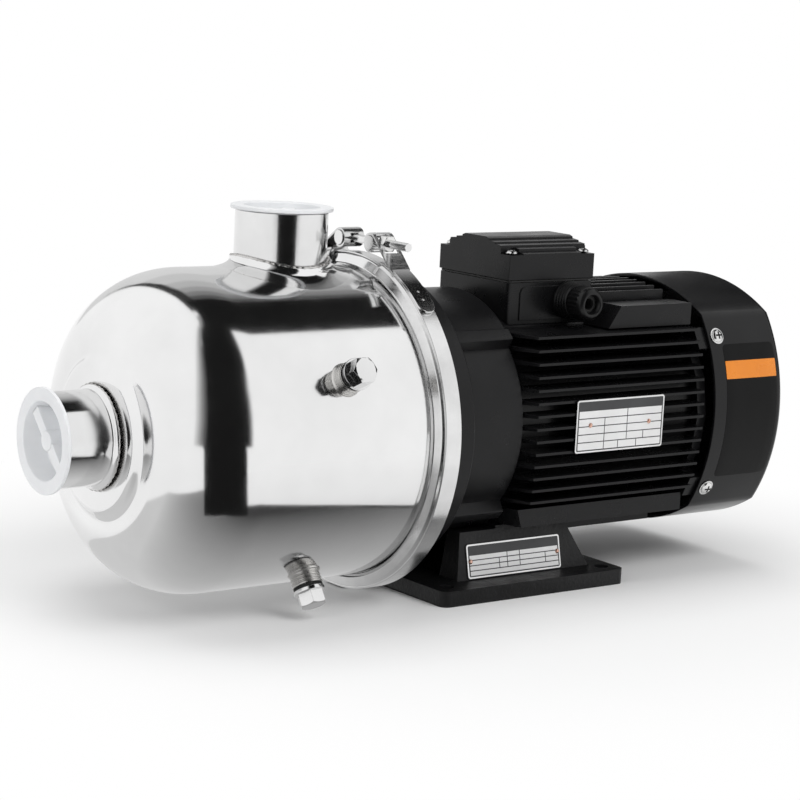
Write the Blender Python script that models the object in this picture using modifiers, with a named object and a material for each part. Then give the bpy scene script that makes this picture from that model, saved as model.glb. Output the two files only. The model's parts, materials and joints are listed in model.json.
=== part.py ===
# Horizontal stainless multistage centrifugal pump with a close coupled, fan cooled motor.
# Metres. The shaft runs along X, the inlet faces -X, the outlet points up, and the foot
# stands on the plane z = 0 with the origin at the centre of its underside.
# Every piece hangs on an empty on the shaft axis, in the plane where the clamp joins the two halves.

import math

import bpy
import bmesh
from mathutils import Matrix, Vector

# Fits shared by the whole pump
SEAT_GAP = 0.0003            # between pieces that touch
RUNNING_GAP = 0.0006         # between pieces that turn past each other
CUT_OVERRUN = 0.006          # how far a cutter passes a face
WELD_DISTANCE = 0.000001
SCREW_MERGE_DISTANCE = 0.00001
FLAT_ANGLE = math.radians(0.1)

# Pump and motor as a whole
CLAMP_FLOOR_CLEARANCE = 0.0006
FOOT_CENTRE_X = 0.0912

# Casing: a deep drawn barrel with a domed front
CASING_RADIUS = 0.092
CASING_WALL = 0.002
CASING_LENGTH = 0.168
DOME_DEPTH = 0.052
DOME_FACE_RADIUS = 0.050
INLET_STEP_RADIUS = 0.0435
INLET_STEP_HEIGHT = 0.004
INLET_STEP_ROUND = 0.003

# Joint between casing and lantern
LIP_RISE = 0.0055
LIP_HALF_WIDTH = 0.0043
LIP_FLANK_RUN = 0.0030
SEAL_PLATE_THICKNESS = 0.0020

# Nozzles and their transport caps
NOZZLE_RADIUS = 0.0267
NOZZLE_WALL = 0.0032
NOZZLE_FOOT_RADIUS = 0.0294
NOZZLE_FOOT_HEIGHT = 0.0020
INLET_NOZZLE_LENGTH = 0.0290
OUTLET_X = -0.0537
OUTLET_NOZZLE_RISE = 0.0251
OUTLET_COLLAR_RISE = 0.0065
OUTLET_COLLAR_FLARE = 0.0100
CAP_FLANGE_RADIUS = 0.0294
CAP_FLANGE_THICKNESS = 0.0022
CAP_PLUG_LENGTH = 0.0120
CAP_WALL = 0.0014
CAP_TAPER = 0.0020
CAP_BAR_WIDTH = 0.0070
CAP_BAR_DROP = 0.0030
CAP_HUB_RADIUS = 0.0055
CAP_TRAVEL = 0.0300

# Priming plug and drain plug
PLUG_X = -0.0635
PRIMING_ANGLE = math.radians(25.0)
DRAIN_ANGLE = math.radians(-56.0)
PLUG_BOSS_RADIUS = 0.0088
PLUG_BOSS_HEIGHT = 0.0080
PLUG_SHANK_RADIUS = 0.0062
PLUG_SHANK_LENGTH = 0.0085
PLUG_WASHER_RADIUS = 0.0094
PLUG_WASHER_THICKNESS = 0.0014
PLUG_COLLAR_RADIUS = 0.0090
PLUG_COLLAR_THICKNESS = 0.0022
PLUG_HEX_RADIUS = 0.0080
PLUG_HEX_HEIGHT = 0.0078

# V band clamp
CLAMP_SHEET = 0.0020
CLAMP_STRAP_SHEET = 0.0012
CLAMP_STRAP_HALF_WIDTH = 0.0055
CLAMP_BRIDGE_SHEET = 0.0010
CLAMP_GAP_NEAR = math.radians(17.0)
CLAMP_GAP_FAR = math.radians(-8.5)
CLAMP_SLIT = math.radians(0.8)
CLAMP_BOLT_RISE = 0.0052
CLAMP_TRUNNION_RADIUS = 0.0043
CLAMP_TRUNNION_HALF_LENGTH = 0.0078
CLAMP_TRUNNION_NEAR = -0.0220
CLAMP_TRUNNION_FAR = 0.0080
CLAMP_TONGUE_HALF_WIDTH = 0.0056
CLAMP_LOOP_HALF_WIDTH = 0.0070
CLAMP_TONGUE_END_NEAR = math.radians(45.0)
CLAMP_TONGUE_START_NEAR = math.radians(25.0)
CLAMP_TONGUE_END_FAR = math.radians(-36.0)
CLAMP_TONGUE_START_FAR = math.radians(-16.5)
CLAMP_BOLT_RADIUS = 0.0025
CLAMP_BOLT_END = -0.0500
CLAMP_NUT_RADIUS = 0.0046
CLAMP_NUT_HEIGHT = 0.0060
CLAMP_LOOP_WRAP = math.radians(245.0)

# Pump stages
STAGE_COUNT = 3
STAGE_PITCH = 0.0340
STAGE_REAR_X = -0.0120
BOWL_CLEARANCE = 0.0070
BOWL_WALL = 0.0015
BOWL_BAFFLE_DROP = 0.0100
BOWL_VANE_COUNT = 5
IMPELLER_CLEARANCE = 0.0070
IMPELLER_SHEET = 0.0015
IMPELLER_CHANNEL = 0.0080
IMPELLER_EYE_RADIUS = 0.0280
IMPELLER_HUB_RADIUS = 0.0130
IMPELLER_VANE_COUNT = 5
IMPELLER_VANE_SWEEP = math.radians(75.0)
IMPELLER_NECK_LENGTH = 0.0045
WEAR_RING_GAP = 0.0010
RETURN_VANE_HEIGHT = 0.0140
VANE_THICKNESS = 0.0016
SUCTION_BELL_WALL = 0.0015
IMPELLER_NUT_RADIUS = 0.0105
IMPELLER_NUT_LENGTH = 0.0090

# Shaft seal
SEAL_SEAT_RADIUS = 0.0160
SEAL_SEAT_LENGTH = 0.0080
SEAL_FACE_RADIUS = 0.0145
SEAL_BORE_RADIUS = 0.0100
SEAL_COLLAR_WALL = 0.0020

# Shaft
SHAFT_PUMP_RADIUS = 0.0070
SHAFT_SEAL_RADIUS = 0.0080
SHAFT_FRONT_BEARING_RADIUS = 0.0100
SHAFT_CORE_RADIUS = 0.0130
SHAFT_REAR_BEARING_RADIUS = 0.0085
SHAFT_FAN_RADIUS = 0.0075

# Lantern between pump and motor
LANTERN_FLANGE_WALL = 0.0060
LANTERN_SHOULDER_DROP = 0.0045
LANTERN_SHOULDER_LENGTH = 0.0260
LANTERN_NECK_RADIUS = 0.0705
LANTERN_SADDLE_RADIUS = 0.0750
LANTERN_REAR_X = 0.0757
LANTERN_WALL = 0.0045
LANTERN_FLOOR_THICKNESS = 0.0080
LANTERN_BEARING_STEP = 0.0060
LANTERN_BEARING_LIP = 0.0030
LANTERN_NECK_SLOPE = 0.0030
LANTERN_LUG_REACH = 0.0775
LANTERN_LUG_TIP_DROP = math.radians(2.9)
LANTERN_LUG_ROOT_DROP = math.radians(5.2)
BEARING_RADIUS = 0.0210
BEARING_WIDTH = 0.0130
BEARING_RACE_WALL = 0.0040
BEARING_BALL_SPACE = 0.0036

# Motor frame with cooling fins
FRAME_LENGTH = 0.1390
FRAME_CORE_RADIUS = 0.0660
FRAME_BORE_RADIUS = 0.0600
FRAME_SIDE_HALF_WIDTH = 0.0775
FRAME_TOP_HALF_HEIGHT = 0.0770
FIN_BULGE_RADIUS = 0.160
SIDE_FIN_PITCH = 0.00757
SIDE_FIN_COUNT = 6
SIDE_FIN_EXTRA_COUNT = 1
TOP_FIN_PITCH = 0.0081
TOP_FIN_COUNT = 4
FIN_TIP_HALF_THICKNESS = 0.0008
FIN_ROOT_HALF_THICKNESS = 0.0014
UPPER_PAD_HALF_WIDTH = 0.0600
UPPER_PAD_TOP = 0.0685
UPPER_PAD_BOTTOM = 0.0550
UPPER_PAD_START = 0.0710
UPPER_PAD_SLOPE = 0.0140
LOWER_PAD_HALF_WIDTH = 0.0620
LOWER_PAD_BOTTOM = 0.0620
LOWER_PAD_TOP = 0.0510
PAD_INNER = 0.0410
PAD_ROOT_INSET = 0.0010
FIN_CHAMFER_RUN = 0.0090
FIN_CHAMFER_RISE = 0.0200
FIN_CHAMFER_FOOT = 0.0012
BOX_SEAT_DEPTH = 0.0006

# Motor inside
STATOR_RADIUS = 0.0597
STATOR_END_SPACE = 0.0295
STATOR_BORE_RADIUS = 0.0355
STATOR_SLOT_COUNT = 12
SLOT_DEPTH = 0.0130
SLOT_HALF_WIDTH = 0.0044
COIL_MARGIN = 0.0008
WINDING_OVERHANG = 0.0140
ROTOR_RADIUS = 0.0348
ROTOR_END_RING = 0.0080

# Rear end shield, fan and fan cover
REAR_SHIELD_DISH_RADIUS = 0.0720
REAR_SHIELD_THICKNESS = 0.0070
REAR_SHIELD_WALL = 0.0040
REAR_SHIELD_SPIGOT = 0.0030
REAR_SHIELD_BOSS_WALL = 0.0060
REAR_SHIELD_LUG_HALF_WIDTH = 0.0070
REAR_SHIELD_LUG_DEPTH = 0.0240
REAR_SHIELD_LUG_LENGTH = 0.0150
COVER_FRONT_GAP = 0.0085
COVER_LENGTH = 0.0600
COVER_HALF_WIDTH = 0.0788
COVER_CORNER = 0.0607
COVER_SHEET = 0.0015
COVER_REAR_ROUND = 0.0050
COVER_SCREW_INSET = 0.0070
COVER_SCREW_HEIGHT = 0.0480
COVER_SCREW_RADIUS = 0.0022
COVER_SCREW_HEAD_RADIUS = 0.0042
COVER_SCREW_HEAD_HEIGHT = 0.0022
COVER_SCREW_LENGTH = 0.0110
GRILLE_RING_SHARES = (0.38, 0.56, 0.74)
GRILLE_SLOT_COUNT = 6
GRILLE_SLOT_HALF_WIDTH = 0.0038
GRILLE_RIB = 0.0070
FAN_RADIUS = 0.0700
FAN_HUB_RADIUS = 0.0150
FAN_LENGTH = 0.0240
FAN_BLADE_COUNT = 8
FAN_BLADE_THICKNESS = 0.0020
FAN_DISC_THICKNESS = 0.0022

# Terminal box
BOX_FRONT_X = 0.0885
BOX_LENGTH = 0.0667
BOX_HALF_WIDTH = 0.0340
BOX_SPLIT = 0.0812
BOX_SKIRT_BOTTOM = 0.0555
BOX_WALL = 0.0030
BOX_CORNER_ROUND = 0.0025
PANEL_RISE = 0.0008
PANEL_LENGTH = 0.0520
PANEL_OFFSET_X = 0.0090
PANEL_TOP = 0.0788
PANEL_CORNER_ROUND = 0.0040
WIRE_HOLE_RADIUS = 0.0060
WIRE_HOLE_X = 0.1440
GASKET_THICKNESS = 0.0010
LID_SHOULDER = 0.0985
LID_TOP = 0.1068
LID_CROWN_SHARE = 0.30
LID_STEP_SHARES = ((0.86, 0.12, 0.30), (0.72, 0.40, 0.52), (0.55, 0.60, 0.70), (0.38, 0.78, 0.88))
LID_WALL = 0.0026
LID_POCKET_LENGTH = 0.0105
LID_POCKET_WIDTH = 0.0090
LID_POCKET_FLOOR = 0.0978
LID_SCREW_INSET = 0.0052
LID_SCREW_RADIUS = 0.0019
LID_SCREW_HEAD_RADIUS = 0.0036
LID_SCREW_HEAD_HEIGHT = 0.0024
LID_SCREW_LENGTH = 0.0200
TERMINAL_BOARD_X = 0.1140
TERMINAL_BOARD_LENGTH = 0.0360
TERMINAL_BOARD_WIDTH = 0.0260
TERMINAL_BOARD_THICKNESS = 0.0040
TERMINAL_STUD_RADIUS = 0.0020
TERMINAL_STUD_HEIGHT = 0.0070
TERMINAL_STUD_COLUMNS = 3
TERMINAL_STUD_ROWS = 2

# Cable gland on the near side of the terminal box
GLAND_X = 0.1335
GLAND_HEIGHT = 0.0700
GLAND_BODY_RADIUS = 0.0112
GLAND_BODY_LENGTH = 0.0120
GLAND_NECK_RADIUS = 0.0078
GLAND_NECK_LENGTH = 0.0085
GLAND_SPIGOT_RADIUS = 0.0075
GLAND_NUT_RADIUS = 0.0104
GLAND_NUT_LENGTH = 0.0125
GLAND_DOME_LENGTH = 0.0038
GLAND_FACE_RADIUS = 0.0076
GLAND_BORE_RADIUS = 0.0050
GLAND_SEAL_RADIUS = 0.0062
GLAND_SEAL_BORE_RADIUS = 0.0036

# Foot
FOOT_LENGTH = 0.1405
FOOT_WIDTH = 0.1470
FOOT_THICKNESS = 0.0095
FOOT_CORNER_ROUND = 0.0050
FOOT_HOLE_RADIUS = 0.0046
FOOT_HOLE_INSET_X = 0.0100
FOOT_HOLE_INSET_Y = 0.0110
CHEEK_FRONT_BOTTOM_X = 0.0440
CHEEK_FRONT_TOP_X = 0.0490
CHEEK_REAR_TOP_X = 0.1290
CHEEK_REAR_BOTTOM_X = 0.1460
CHEEK_STEP = 0.0018
CHEEK_OUTER_BOTTOM = 0.0560
CHEEK_OUTER_TOP = 0.0495
CHEEK_THICKNESS = 0.0110
FOOT_WEB_X = 0.0950
FOOT_WEB_THICKNESS = 0.0090
FOOT_WEB_HEIGHT = 0.0090

# Rating plates
PLATE_THICKNESS = 0.0006
MOTOR_PLATE_LENGTH = 0.0700
MOTOR_PLATE_HEIGHT = 0.0320
MOTOR_PLATE_CENTRE_X = 0.1450
PUMP_PLATE_LENGTH = 0.0720
PUMP_PLATE_HEIGHT = 0.0205
PUMP_PLATE_CENTRE_X = 0.0880

# Number of sides of round shapes
LARGE_ROUND = 30
CORE_ROUND = 20
MEDIUM_ROUND = 20
SMALL_ROUND = 14
SHAFT_ROUND = 12
SCREW_ROUND = 8
HEX_SIDES = 6
DOME_SIDES = 5
VANE_SIDES = 2
CLAMP_GAP_SIDES = 6
CLAMP_TONGUE_SIDES = 4
CLAMP_TIP_SIDES = 6
CLAMP_LOOP_SIDES = 10
SADDLE_SIDES = 6
COVER_SIDE_SEGMENTS = 6
GRILLE_SLOT_SIDES = 3
BOX_CORNER_SIDES = 2
FOOT_CORNER_SIDES = 3

FULL_TURN = 2 * math.pi
QUARTER_TURN = math.pi / 2
EIGHTH_TURN = math.pi / 4

X_AXIS = Vector((1, 0, 0))
Y_AXIS = Vector((0, 1, 0))
Z_AXIS = Vector((0, 0, 1))

# Values worked out from the sizes
CASING_BORE = CASING_RADIUS - CASING_WALL
LIP_RADIUS = CASING_RADIUS + LIP_RISE
OUTLET_COLLAR_TOP = CASING_RADIUS + OUTLET_COLLAR_RISE
OUTLET_NOZZLE_TOP = OUTLET_COLLAR_TOP + OUTLET_NOZZLE_RISE
LANTERN_SHOULDER_RADIUS = CASING_RADIUS - LANTERN_SHOULDER_DROP
BOWL_RADIUS = CASING_BORE - BOWL_CLEARANCE
BOWL_BAFFLE_RADIUS = BOWL_RADIUS - BOWL_BAFFLE_DROP
IMPELLER_RADIUS = BOWL_BAFFLE_RADIUS - IMPELLER_CLEARANCE
INLET_FACE_X = -(CASING_LENGTH + INLET_STEP_HEIGHT)
NOZZLE_BORE = NOZZLE_RADIUS - NOZZLE_WALL
INLET_END_X = INLET_FACE_X - SEAT_GAP - INLET_NOZZLE_LENGTH
LIP_ROOT = LIP_HALF_WIDTH + LIP_FLANK_RUN
LIP_FACE_X = SEAL_PLATE_THICKNESS / 2 + SEAT_GAP
CLAMP_INNER_RADIUS = LIP_RADIUS + SEAT_GAP
CLAMP_SHEET_RADIUS = CLAMP_INNER_RADIUS + CLAMP_SHEET
CLAMP_OUTER_RADIUS = CLAMP_SHEET_RADIUS + CLAMP_STRAP_SHEET
TONGUE_RADIUS = CLAMP_OUTER_RADIUS + SEAT_GAP
CLAMP_LOOP_RADIUS = CLAMP_TRUNNION_RADIUS + SEAT_GAP
CLAMP_BOLT_HEIGHT = CLAMP_OUTER_RADIUS + CLAMP_BOLT_RISE
SHAFT_HEIGHT = CLAMP_OUTER_RADIUS + CLAMP_FLOOR_CLEARANCE
FRAME_FRONT_X = LANTERN_REAR_X + SEAT_GAP
FRAME_REAR_X = FRAME_FRONT_X + FRAME_LENGTH
REAR_SHIELD_X = FRAME_REAR_X + SEAT_GAP
STATOR_LENGTH = FRAME_LENGTH - STATOR_END_SPACE * 2
STATOR_CENTRE_X = (FRAME_FRONT_X + FRAME_REAR_X) / 2
COVER_FRONT_X = FRAME_REAR_X + COVER_FRONT_GAP
COVER_REAR_X = COVER_FRONT_X + COVER_LENGTH
COVER_SCREW_X = COVER_FRONT_X + COVER_SCREW_INSET
FRONT_BEARING_X = LANTERN_REAR_X - LANTERN_BEARING_STEP - BEARING_WIDTH / 2
REAR_BEARING_X = REAR_SHIELD_X + REAR_SHIELD_THICKNESS + BEARING_WIDTH / 2
BEARING_SEAT_RADIUS = BEARING_RADIUS + SEAT_GAP
PUMP_FRONT_X = STAGE_REAR_X - STAGE_COUNT * STAGE_PITCH
SHAFT_TIP_X = PUMP_FRONT_X - IMPELLER_NUT_LENGTH
FAN_X = REAR_BEARING_X + BEARING_WIDTH
SHAFT_END_X = FAN_X + FAN_LENGTH + FAN_DISC_THICKNESS
IMPELLER_REAR = IMPELLER_NECK_LENGTH + IMPELLER_SHEET + IMPELLER_CHANNEL
BOWL_EYE_RADIUS = IMPELLER_EYE_RADIUS + WEAR_RING_GAP
BOWL_INNER_RADIUS = BOWL_RADIUS - BOWL_WALL
SEAL_COLLAR_END = SEAL_SEAT_LENGTH - SEAL_PLATE_THICKNESS / 2
FOOT_BOTTOM = -SHAFT_HEIGHT
FOOT_TOP = FOOT_BOTTOM + FOOT_THICKNESS
CHEEK_TOP = -(LOWER_PAD_BOTTOM + SEAT_GAP)
BOX_MIDDLE_X = BOX_FRONT_X + BOX_LENGTH / 2
BOX_REAR_X = BOX_FRONT_X + BOX_LENGTH
BOX_SEAT_RADIUS = FRAME_CORE_RADIUS - BOX_SEAT_DEPTH
BOX_UNDERSIDE_RADIUS = BOX_SEAT_RADIUS + SEAT_GAP
BOX_FLOOR_RADIUS = BOX_UNDERSIDE_RADIUS + BOX_WALL
LID_BOTTOM = BOX_SPLIT + SEAT_GAP * 2 + GASKET_THICKNESS
COVER_BULGE_RADIUS = ((COVER_HALF_WIDTH - COVER_CORNER) ** 2 + COVER_CORNER ** 2) / (
    2 * (COVER_HALF_WIDTH - COVER_CORNER))


# Scene

def clear_scene():
    for item in list(bpy.data.objects):
        bpy.data.objects.remove(item, do_unlink=True)


def make_collection(name):
    collection = bpy.data.collections.new(name)
    bpy.context.scene.collection.children.link(collection)
    return collection


clear_scene()
PARTS = make_collection("centrifugal_pump")
CUTTERS = make_collection("cutters")

AXIS = bpy.data.objects.new("shaft_axis", None)
AXIS.location = (-FOOT_CENTRE_X, 0, SHAFT_HEIGHT)
PARTS.objects.link(AXIS)


def make_material(name, colour, roughness, metallic):
    material = bpy.data.materials.new(name)
    material.use_nodes = True
    surface = material.node_tree.nodes["Principled BSDF"]
    surface.inputs["Base Color"].default_value = (*colour, 1)
    surface.inputs["Roughness"].default_value = roughness
    surface.inputs["Metallic"].default_value = metallic
    return material


STAINLESS = ((0.72, 0.71, 0.69), 0.16, 1.0)
SATIN_STEEL = ((0.55, 0.54, 0.52), 0.35, 1.0)
BLACK_PAINT = ((0.020, 0.020, 0.022), 0.38, 0.0)
CAST_BLACK = ((0.030, 0.030, 0.032), 0.72, 0.0)
BLACK_PLASTIC = ((0.015, 0.015, 0.016), 0.45, 0.0)
WHITE_PLASTIC = ((0.86, 0.88, 0.90), 0.45, 0.0)
BLACK_RUBBER = ((0.020, 0.020, 0.020), 0.80, 0.0)
SILICON_STEEL = ((0.33, 0.33, 0.34), 0.50, 1.0)
COPPER = ((0.72, 0.32, 0.16), 0.35, 1.0)
ALUMINIUM = ((0.62, 0.63, 0.64), 0.40, 1.0)
CERAMIC = ((0.85, 0.83, 0.78), 0.25, 0.0)
PLATE_METAL = ((0.70, 0.71, 0.72), 0.35, 1.0)


# Shape makers

def frame_towards(origin, direction, side):
    """Matrix whose Z runs along direction and whose X lies nearest to side."""
    along = direction.normalized()
    across = (side - along * along.dot(side)).normalized()
    rotation = Matrix((across, along.cross(across), along)).transposed().to_4x4()
    return Matrix.Translation(origin) @ rotation


def along_x(x=0.0, y=0.0, z=0.0):
    """Frame for an outline in Y and Z that is extruded or turned along X."""
    return frame_towards((x, y, z), X_AXIS, Y_AXIS)


def upright(x=0.0, y=0.0, z=0.0):
    return Matrix.Translation((x, y, z))


def towards_near(x, y, z):
    return frame_towards((x, y, z), -Y_AXIS, X_AXIS)


def radial(angle, distance, x):
    """Frame on the near side whose Z points away from the shaft, angle above the horizontal."""
    direction = Vector((0, -math.cos(angle), math.sin(angle)))
    return frame_towards(Vector((x, 0, 0)) + direction * distance, direction, X_AXIS)


def add_piece(name, mesh, finish, matrix):
    piece = bpy.data.objects.new(name, mesh)
    piece.parent = AXIS
    piece.matrix_local = matrix
    PARTS.objects.link(piece)
    if finish is not None:
        piece.data.materials.append(make_material(name + "_finish", *finish))
    return piece


def full(outer):
    """Profile of a solid turned piece from its (height, radius) points, bottom to top."""
    return [(outer[-1][0], 0.0)] + list(reversed(outer)) + [(outer[0][0], 0.0)]


def hollow(outer, inner):
    """Profile of a turned ring or sleeve, both lines given from bottom to top."""
    return list(reversed(outer)) + list(inner)


def sleeve(bottom, top, outer_radius, inner_radius):
    return hollow([(bottom, outer_radius), (top, outer_radius)], [(bottom, inner_radius), (top, inner_radius)])


def turned(name, finish, profile, matrix, steps):
    """Turn a profile that runs down the outer side; one that starts on the axis is not closed."""
    points = [(radius, 0.0, height) for height, radius in profile]
    edges = [(index, index + 1) for index in range(len(points) - 1)]
    if profile[0][1] > 0:
        edges.append((len(points) - 1, 0))
    mesh = bpy.data.meshes.new(name)
    mesh.from_pydata(points, edges, [])
    piece = add_piece(name, mesh, finish, matrix)
    screw = piece.modifiers.new("turn", "SCREW")
    screw.axis = "Z"
    screw.angle = FULL_TURN
    screw.steps = steps
    screw.render_steps = steps
    screw.use_merge_vertices = True
    screw.merge_threshold = SCREW_MERGE_DISTANCE
    return piece


def cylinder(name, finish, radius, bottom, top, matrix, steps):
    shape = bmesh.new()
    bmesh.ops.create_cone(shape, cap_ends=True, segments=steps, radius1=radius, radius2=radius, depth=top - bottom,
                          matrix=Matrix.Rotation(-QUARTER_TURN, 4, "Z"))
    bmesh.ops.translate(shape, vec=(0, 0, (top + bottom) / 2), verts=shape.verts)
    mesh = bpy.data.meshes.new(name)
    shape.to_mesh(mesh)
    shape.free()
    for face in mesh.polygons:
        face.use_smooth = len(face.vertices) == 4
    return add_piece(name, mesh, finish, matrix)


def prism(name, finish, outlines, bottom, top, matrix):
    """Flat outlines from bottom to top along local Z; an outline inside another is a hole."""
    curve = bpy.data.curves.new(name, "CURVE")
    curve.dimensions = "2D"
    curve.fill_mode = "BOTH"
    curve.extrude = (top - bottom) / 2
    for outline in outlines:
        spline = curve.splines.new("POLY")
        spline.points.add(len(outline) - 1)
        for point, (across, up) in zip(spline.points, outline):
            point.co = (across, up, 0, 1)
        spline.use_cyclic_u = True
    holder = bpy.data.objects.new(name, curve)
    bpy.context.scene.collection.objects.link(holder)
    bpy.context.view_layer.update()
    mesh = bpy.data.meshes.new_from_object(holder.evaluated_get(bpy.context.evaluated_depsgraph_get()))
    bpy.data.objects.remove(holder, do_unlink=True)
    shape = bmesh.new()
    shape.from_mesh(mesh)
    bmesh.ops.remove_doubles(shape, verts=shape.verts, dist=WELD_DISTANCE)
    bmesh.ops.dissolve_degenerate(shape, dist=WELD_DISTANCE, edges=shape.edges)
    bmesh.ops.translate(shape, verts=shape.verts, vec=(0, 0, (top + bottom) / 2))
    bmesh.ops.dissolve_limit(shape, angle_limit=FLAT_ANGLE, verts=shape.verts, edges=shape.edges)
    bmesh.ops.recalc_face_normals(shape, faces=shape.faces)
    shape.to_mesh(mesh)
    shape.free()
    mesh.name = name
    return add_piece(name, mesh, finish, matrix)


def block(name, finish, low, high, matrix=None):
    """Box between two corners."""
    shape = bmesh.new()
    bmesh.ops.create_cube(shape, size=1.0)
    bmesh.ops.scale(shape, vec=Vector(high) - Vector(low), verts=shape.verts)
    bmesh.ops.translate(shape, vec=(Vector(high) + Vector(low)) / 2, verts=shape.verts)
    mesh = bpy.data.meshes.new(name)
    shape.to_mesh(mesh)
    shape.free()
    return add_piece(name, mesh, finish, matrix or Matrix.Identity(4))


def combine(piece, operation, tool):
    """Cut, join or intersect piece with tool, which becomes a hidden guide."""
    for holder in tool.users_collection:
        holder.objects.unlink(tool)
    CUTTERS.objects.link(tool)
    tool.hide_render = True
    tool.display_type = "WIRE"
    change = piece.modifiers.new(operation.lower(), "BOOLEAN")
    change.operation = operation
    change.solver = "EXACT"
    change.object = tool
    return piece


def cut(piece, tool):
    return combine(piece, "DIFFERENCE", tool)


def join(piece, tool):
    return combine(piece, "UNION", tool)


def arc(centre, radius, start, end, count):
    """Points on a circle from one angle to another, ends included."""
    step = (end - start) / count
    angles = [start + step * index for index in range(count + 1)]
    return [(centre[0] + radius * math.cos(angle), centre[1] + radius * math.sin(angle)) for angle in angles]


def circle(radius, count, centre=(0.0, 0.0)):
    return arc(centre, radius, 0, FULL_TURN, count)[:-1]


def spread(count):
    """Angles that share out a full turn."""
    return [FULL_TURN * index / count for index in range(count)]


def turned_about(points, angle):
    """Outline points turned about the origin."""
    cosine = math.cos(angle)
    sine = math.sin(angle)
    return [(across * cosine - up * sine, across * sine + up * cosine) for across, up in points]


def rectangle(low_x, high_x, low_y, high_y):
    return [(low_x, low_y), (high_x, low_y), (high_x, high_y), (low_x, high_y)]


def rounded_rectangle(half_x, half_y, radius, count):
    """Rectangle about the origin with its corners rounded."""
    points = []
    for turn, (sign_x, sign_y) in enumerate(((1, 1), (-1, 1), (-1, -1), (1, -1))):
        centre = (sign_x * (half_x - radius), sign_y * (half_y - radius))
        start = QUARTER_TURN * turn
        points += arc(centre, radius, start, start + QUARTER_TURN, count)
    return points


# Pump casing

def dome_profile():
    """Outside of the casing as (x, radius), from the inlet hole back to the clamp lip."""
    face = -CASING_LENGTH
    dome_start = face + DOME_DEPTH
    dome_height = CASING_RADIUS - DOME_FACE_RADIUS
    points = [(INLET_FACE_X, NOZZLE_BORE),
              (INLET_FACE_X, INLET_STEP_RADIUS - INLET_STEP_ROUND),
              (INLET_FACE_X + INLET_STEP_ROUND / 2, INLET_STEP_RADIUS),
              (face, (INLET_STEP_RADIUS + DOME_FACE_RADIUS) / 2)]
    for height, radius in arc((0.0, 0.0), 1.0, QUARTER_TURN, 0, DOME_SIDES):
        points.append((dome_start - DOME_DEPTH * radius, DOME_FACE_RADIUS + dome_height * height))
    points.append((-LIP_ROOT, CASING_RADIUS))
    return points


def offset_inward(points, wall):
    """The inside line of a wall of even thickness below the outside points."""
    inner = []
    for index, (height, radius) in enumerate(points):
        before = points[max(index - 1, 0)]
        after = points[min(index + 1, len(points) - 1)]
        run = after[0] - before[0]
        rise = after[1] - before[1]
        length = math.hypot(run, rise)
        inner.append((height + wall * rise / length, radius - wall * run / length))
    return inner


def make_casing():
    outer = dome_profile()
    face = INLET_FACE_X + CASING_WALL
    dome = offset_inward(outer[-DOME_SIDES - 2:], CASING_WALL)
    inner = [(face, NOZZLE_BORE), (face, INLET_STEP_RADIUS - CASING_WALL)] + dome[:-1]
    inner.append((-LIP_FACE_X, CASING_BORE))
    outer.append((-LIP_HALF_WIDTH, LIP_RADIUS))
    outer.append((-LIP_FACE_X, LIP_RADIUS))
    casing = turned("pump_casing", STAINLESS, hollow(outer, inner), along_x(), LARGE_ROUND)
    join(casing, outlet_collar())
    between_sides = Matrix.Rotation(math.pi / MEDIUM_ROUND, 4, "Z")
    cut(casing, cylinder("outlet_hole", None, NOZZLE_BORE, 0.0, OUTLET_COLLAR_TOP + CUT_OVERRUN,
                         upright(OUTLET_X) @ between_sides, MEDIUM_ROUND))
    for name, angle in (("priming_hole", PRIMING_ANGLE), ("drain_hole", DRAIN_ANGLE)):
        cut(casing, cylinder(name, None, PLUG_SHANK_RADIUS + RUNNING_GAP, -CUT_OVERRUN, CUT_OVERRUN,
                             radial(angle, CASING_RADIUS, PLUG_X), SMALL_ROUND))
    return casing


def outlet_collar():
    """Drawn neck that flares from the barrel up to the outlet stub."""
    rim = NOZZLE_RADIUS + OUTLET_COLLAR_FLARE
    root = math.sqrt(CASING_RADIUS ** 2 - rim ** 2) - CASING_WALL
    flare = arc((OUTLET_COLLAR_TOP, rim), OUTLET_COLLAR_FLARE, math.pi, math.pi + QUARTER_TURN, 4)
    outer = [(root, rim)] + flare
    bore = NOZZLE_BORE - CASING_WALL
    collar = turned("outlet_collar", None, hollow(outer, [(root, bore), (OUTLET_COLLAR_TOP, bore)]),
                    upright(OUTLET_X), MEDIUM_ROUND)
    cut(collar, cylinder("barrel_inside", None, CASING_BORE + CASING_WALL / 2, -CASING_LENGTH, 0.0, along_x(),
                         LARGE_ROUND))
    return collar


def nozzle_profile(length):
    outer = [(0.0, NOZZLE_FOOT_RADIUS), (NOZZLE_FOOT_HEIGHT, NOZZLE_RADIUS), (length, NOZZLE_RADIUS)]
    return hollow(outer, [(0.0, NOZZLE_BORE), (length, NOZZLE_BORE)])


def make_nozzles():
    turned("inlet_nozzle", STAINLESS, nozzle_profile(INLET_NOZZLE_LENGTH),
           frame_towards((INLET_FACE_X - SEAT_GAP, 0, 0), -X_AXIS, Y_AXIS), MEDIUM_ROUND)
    start = OUTLET_COLLAR_TOP + SEAT_GAP
    turned("outlet_nozzle", STAINLESS, nozzle_profile(OUTLET_NOZZLE_TOP - start), upright(OUTLET_X, 0, start),
           MEDIUM_ROUND)


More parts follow.
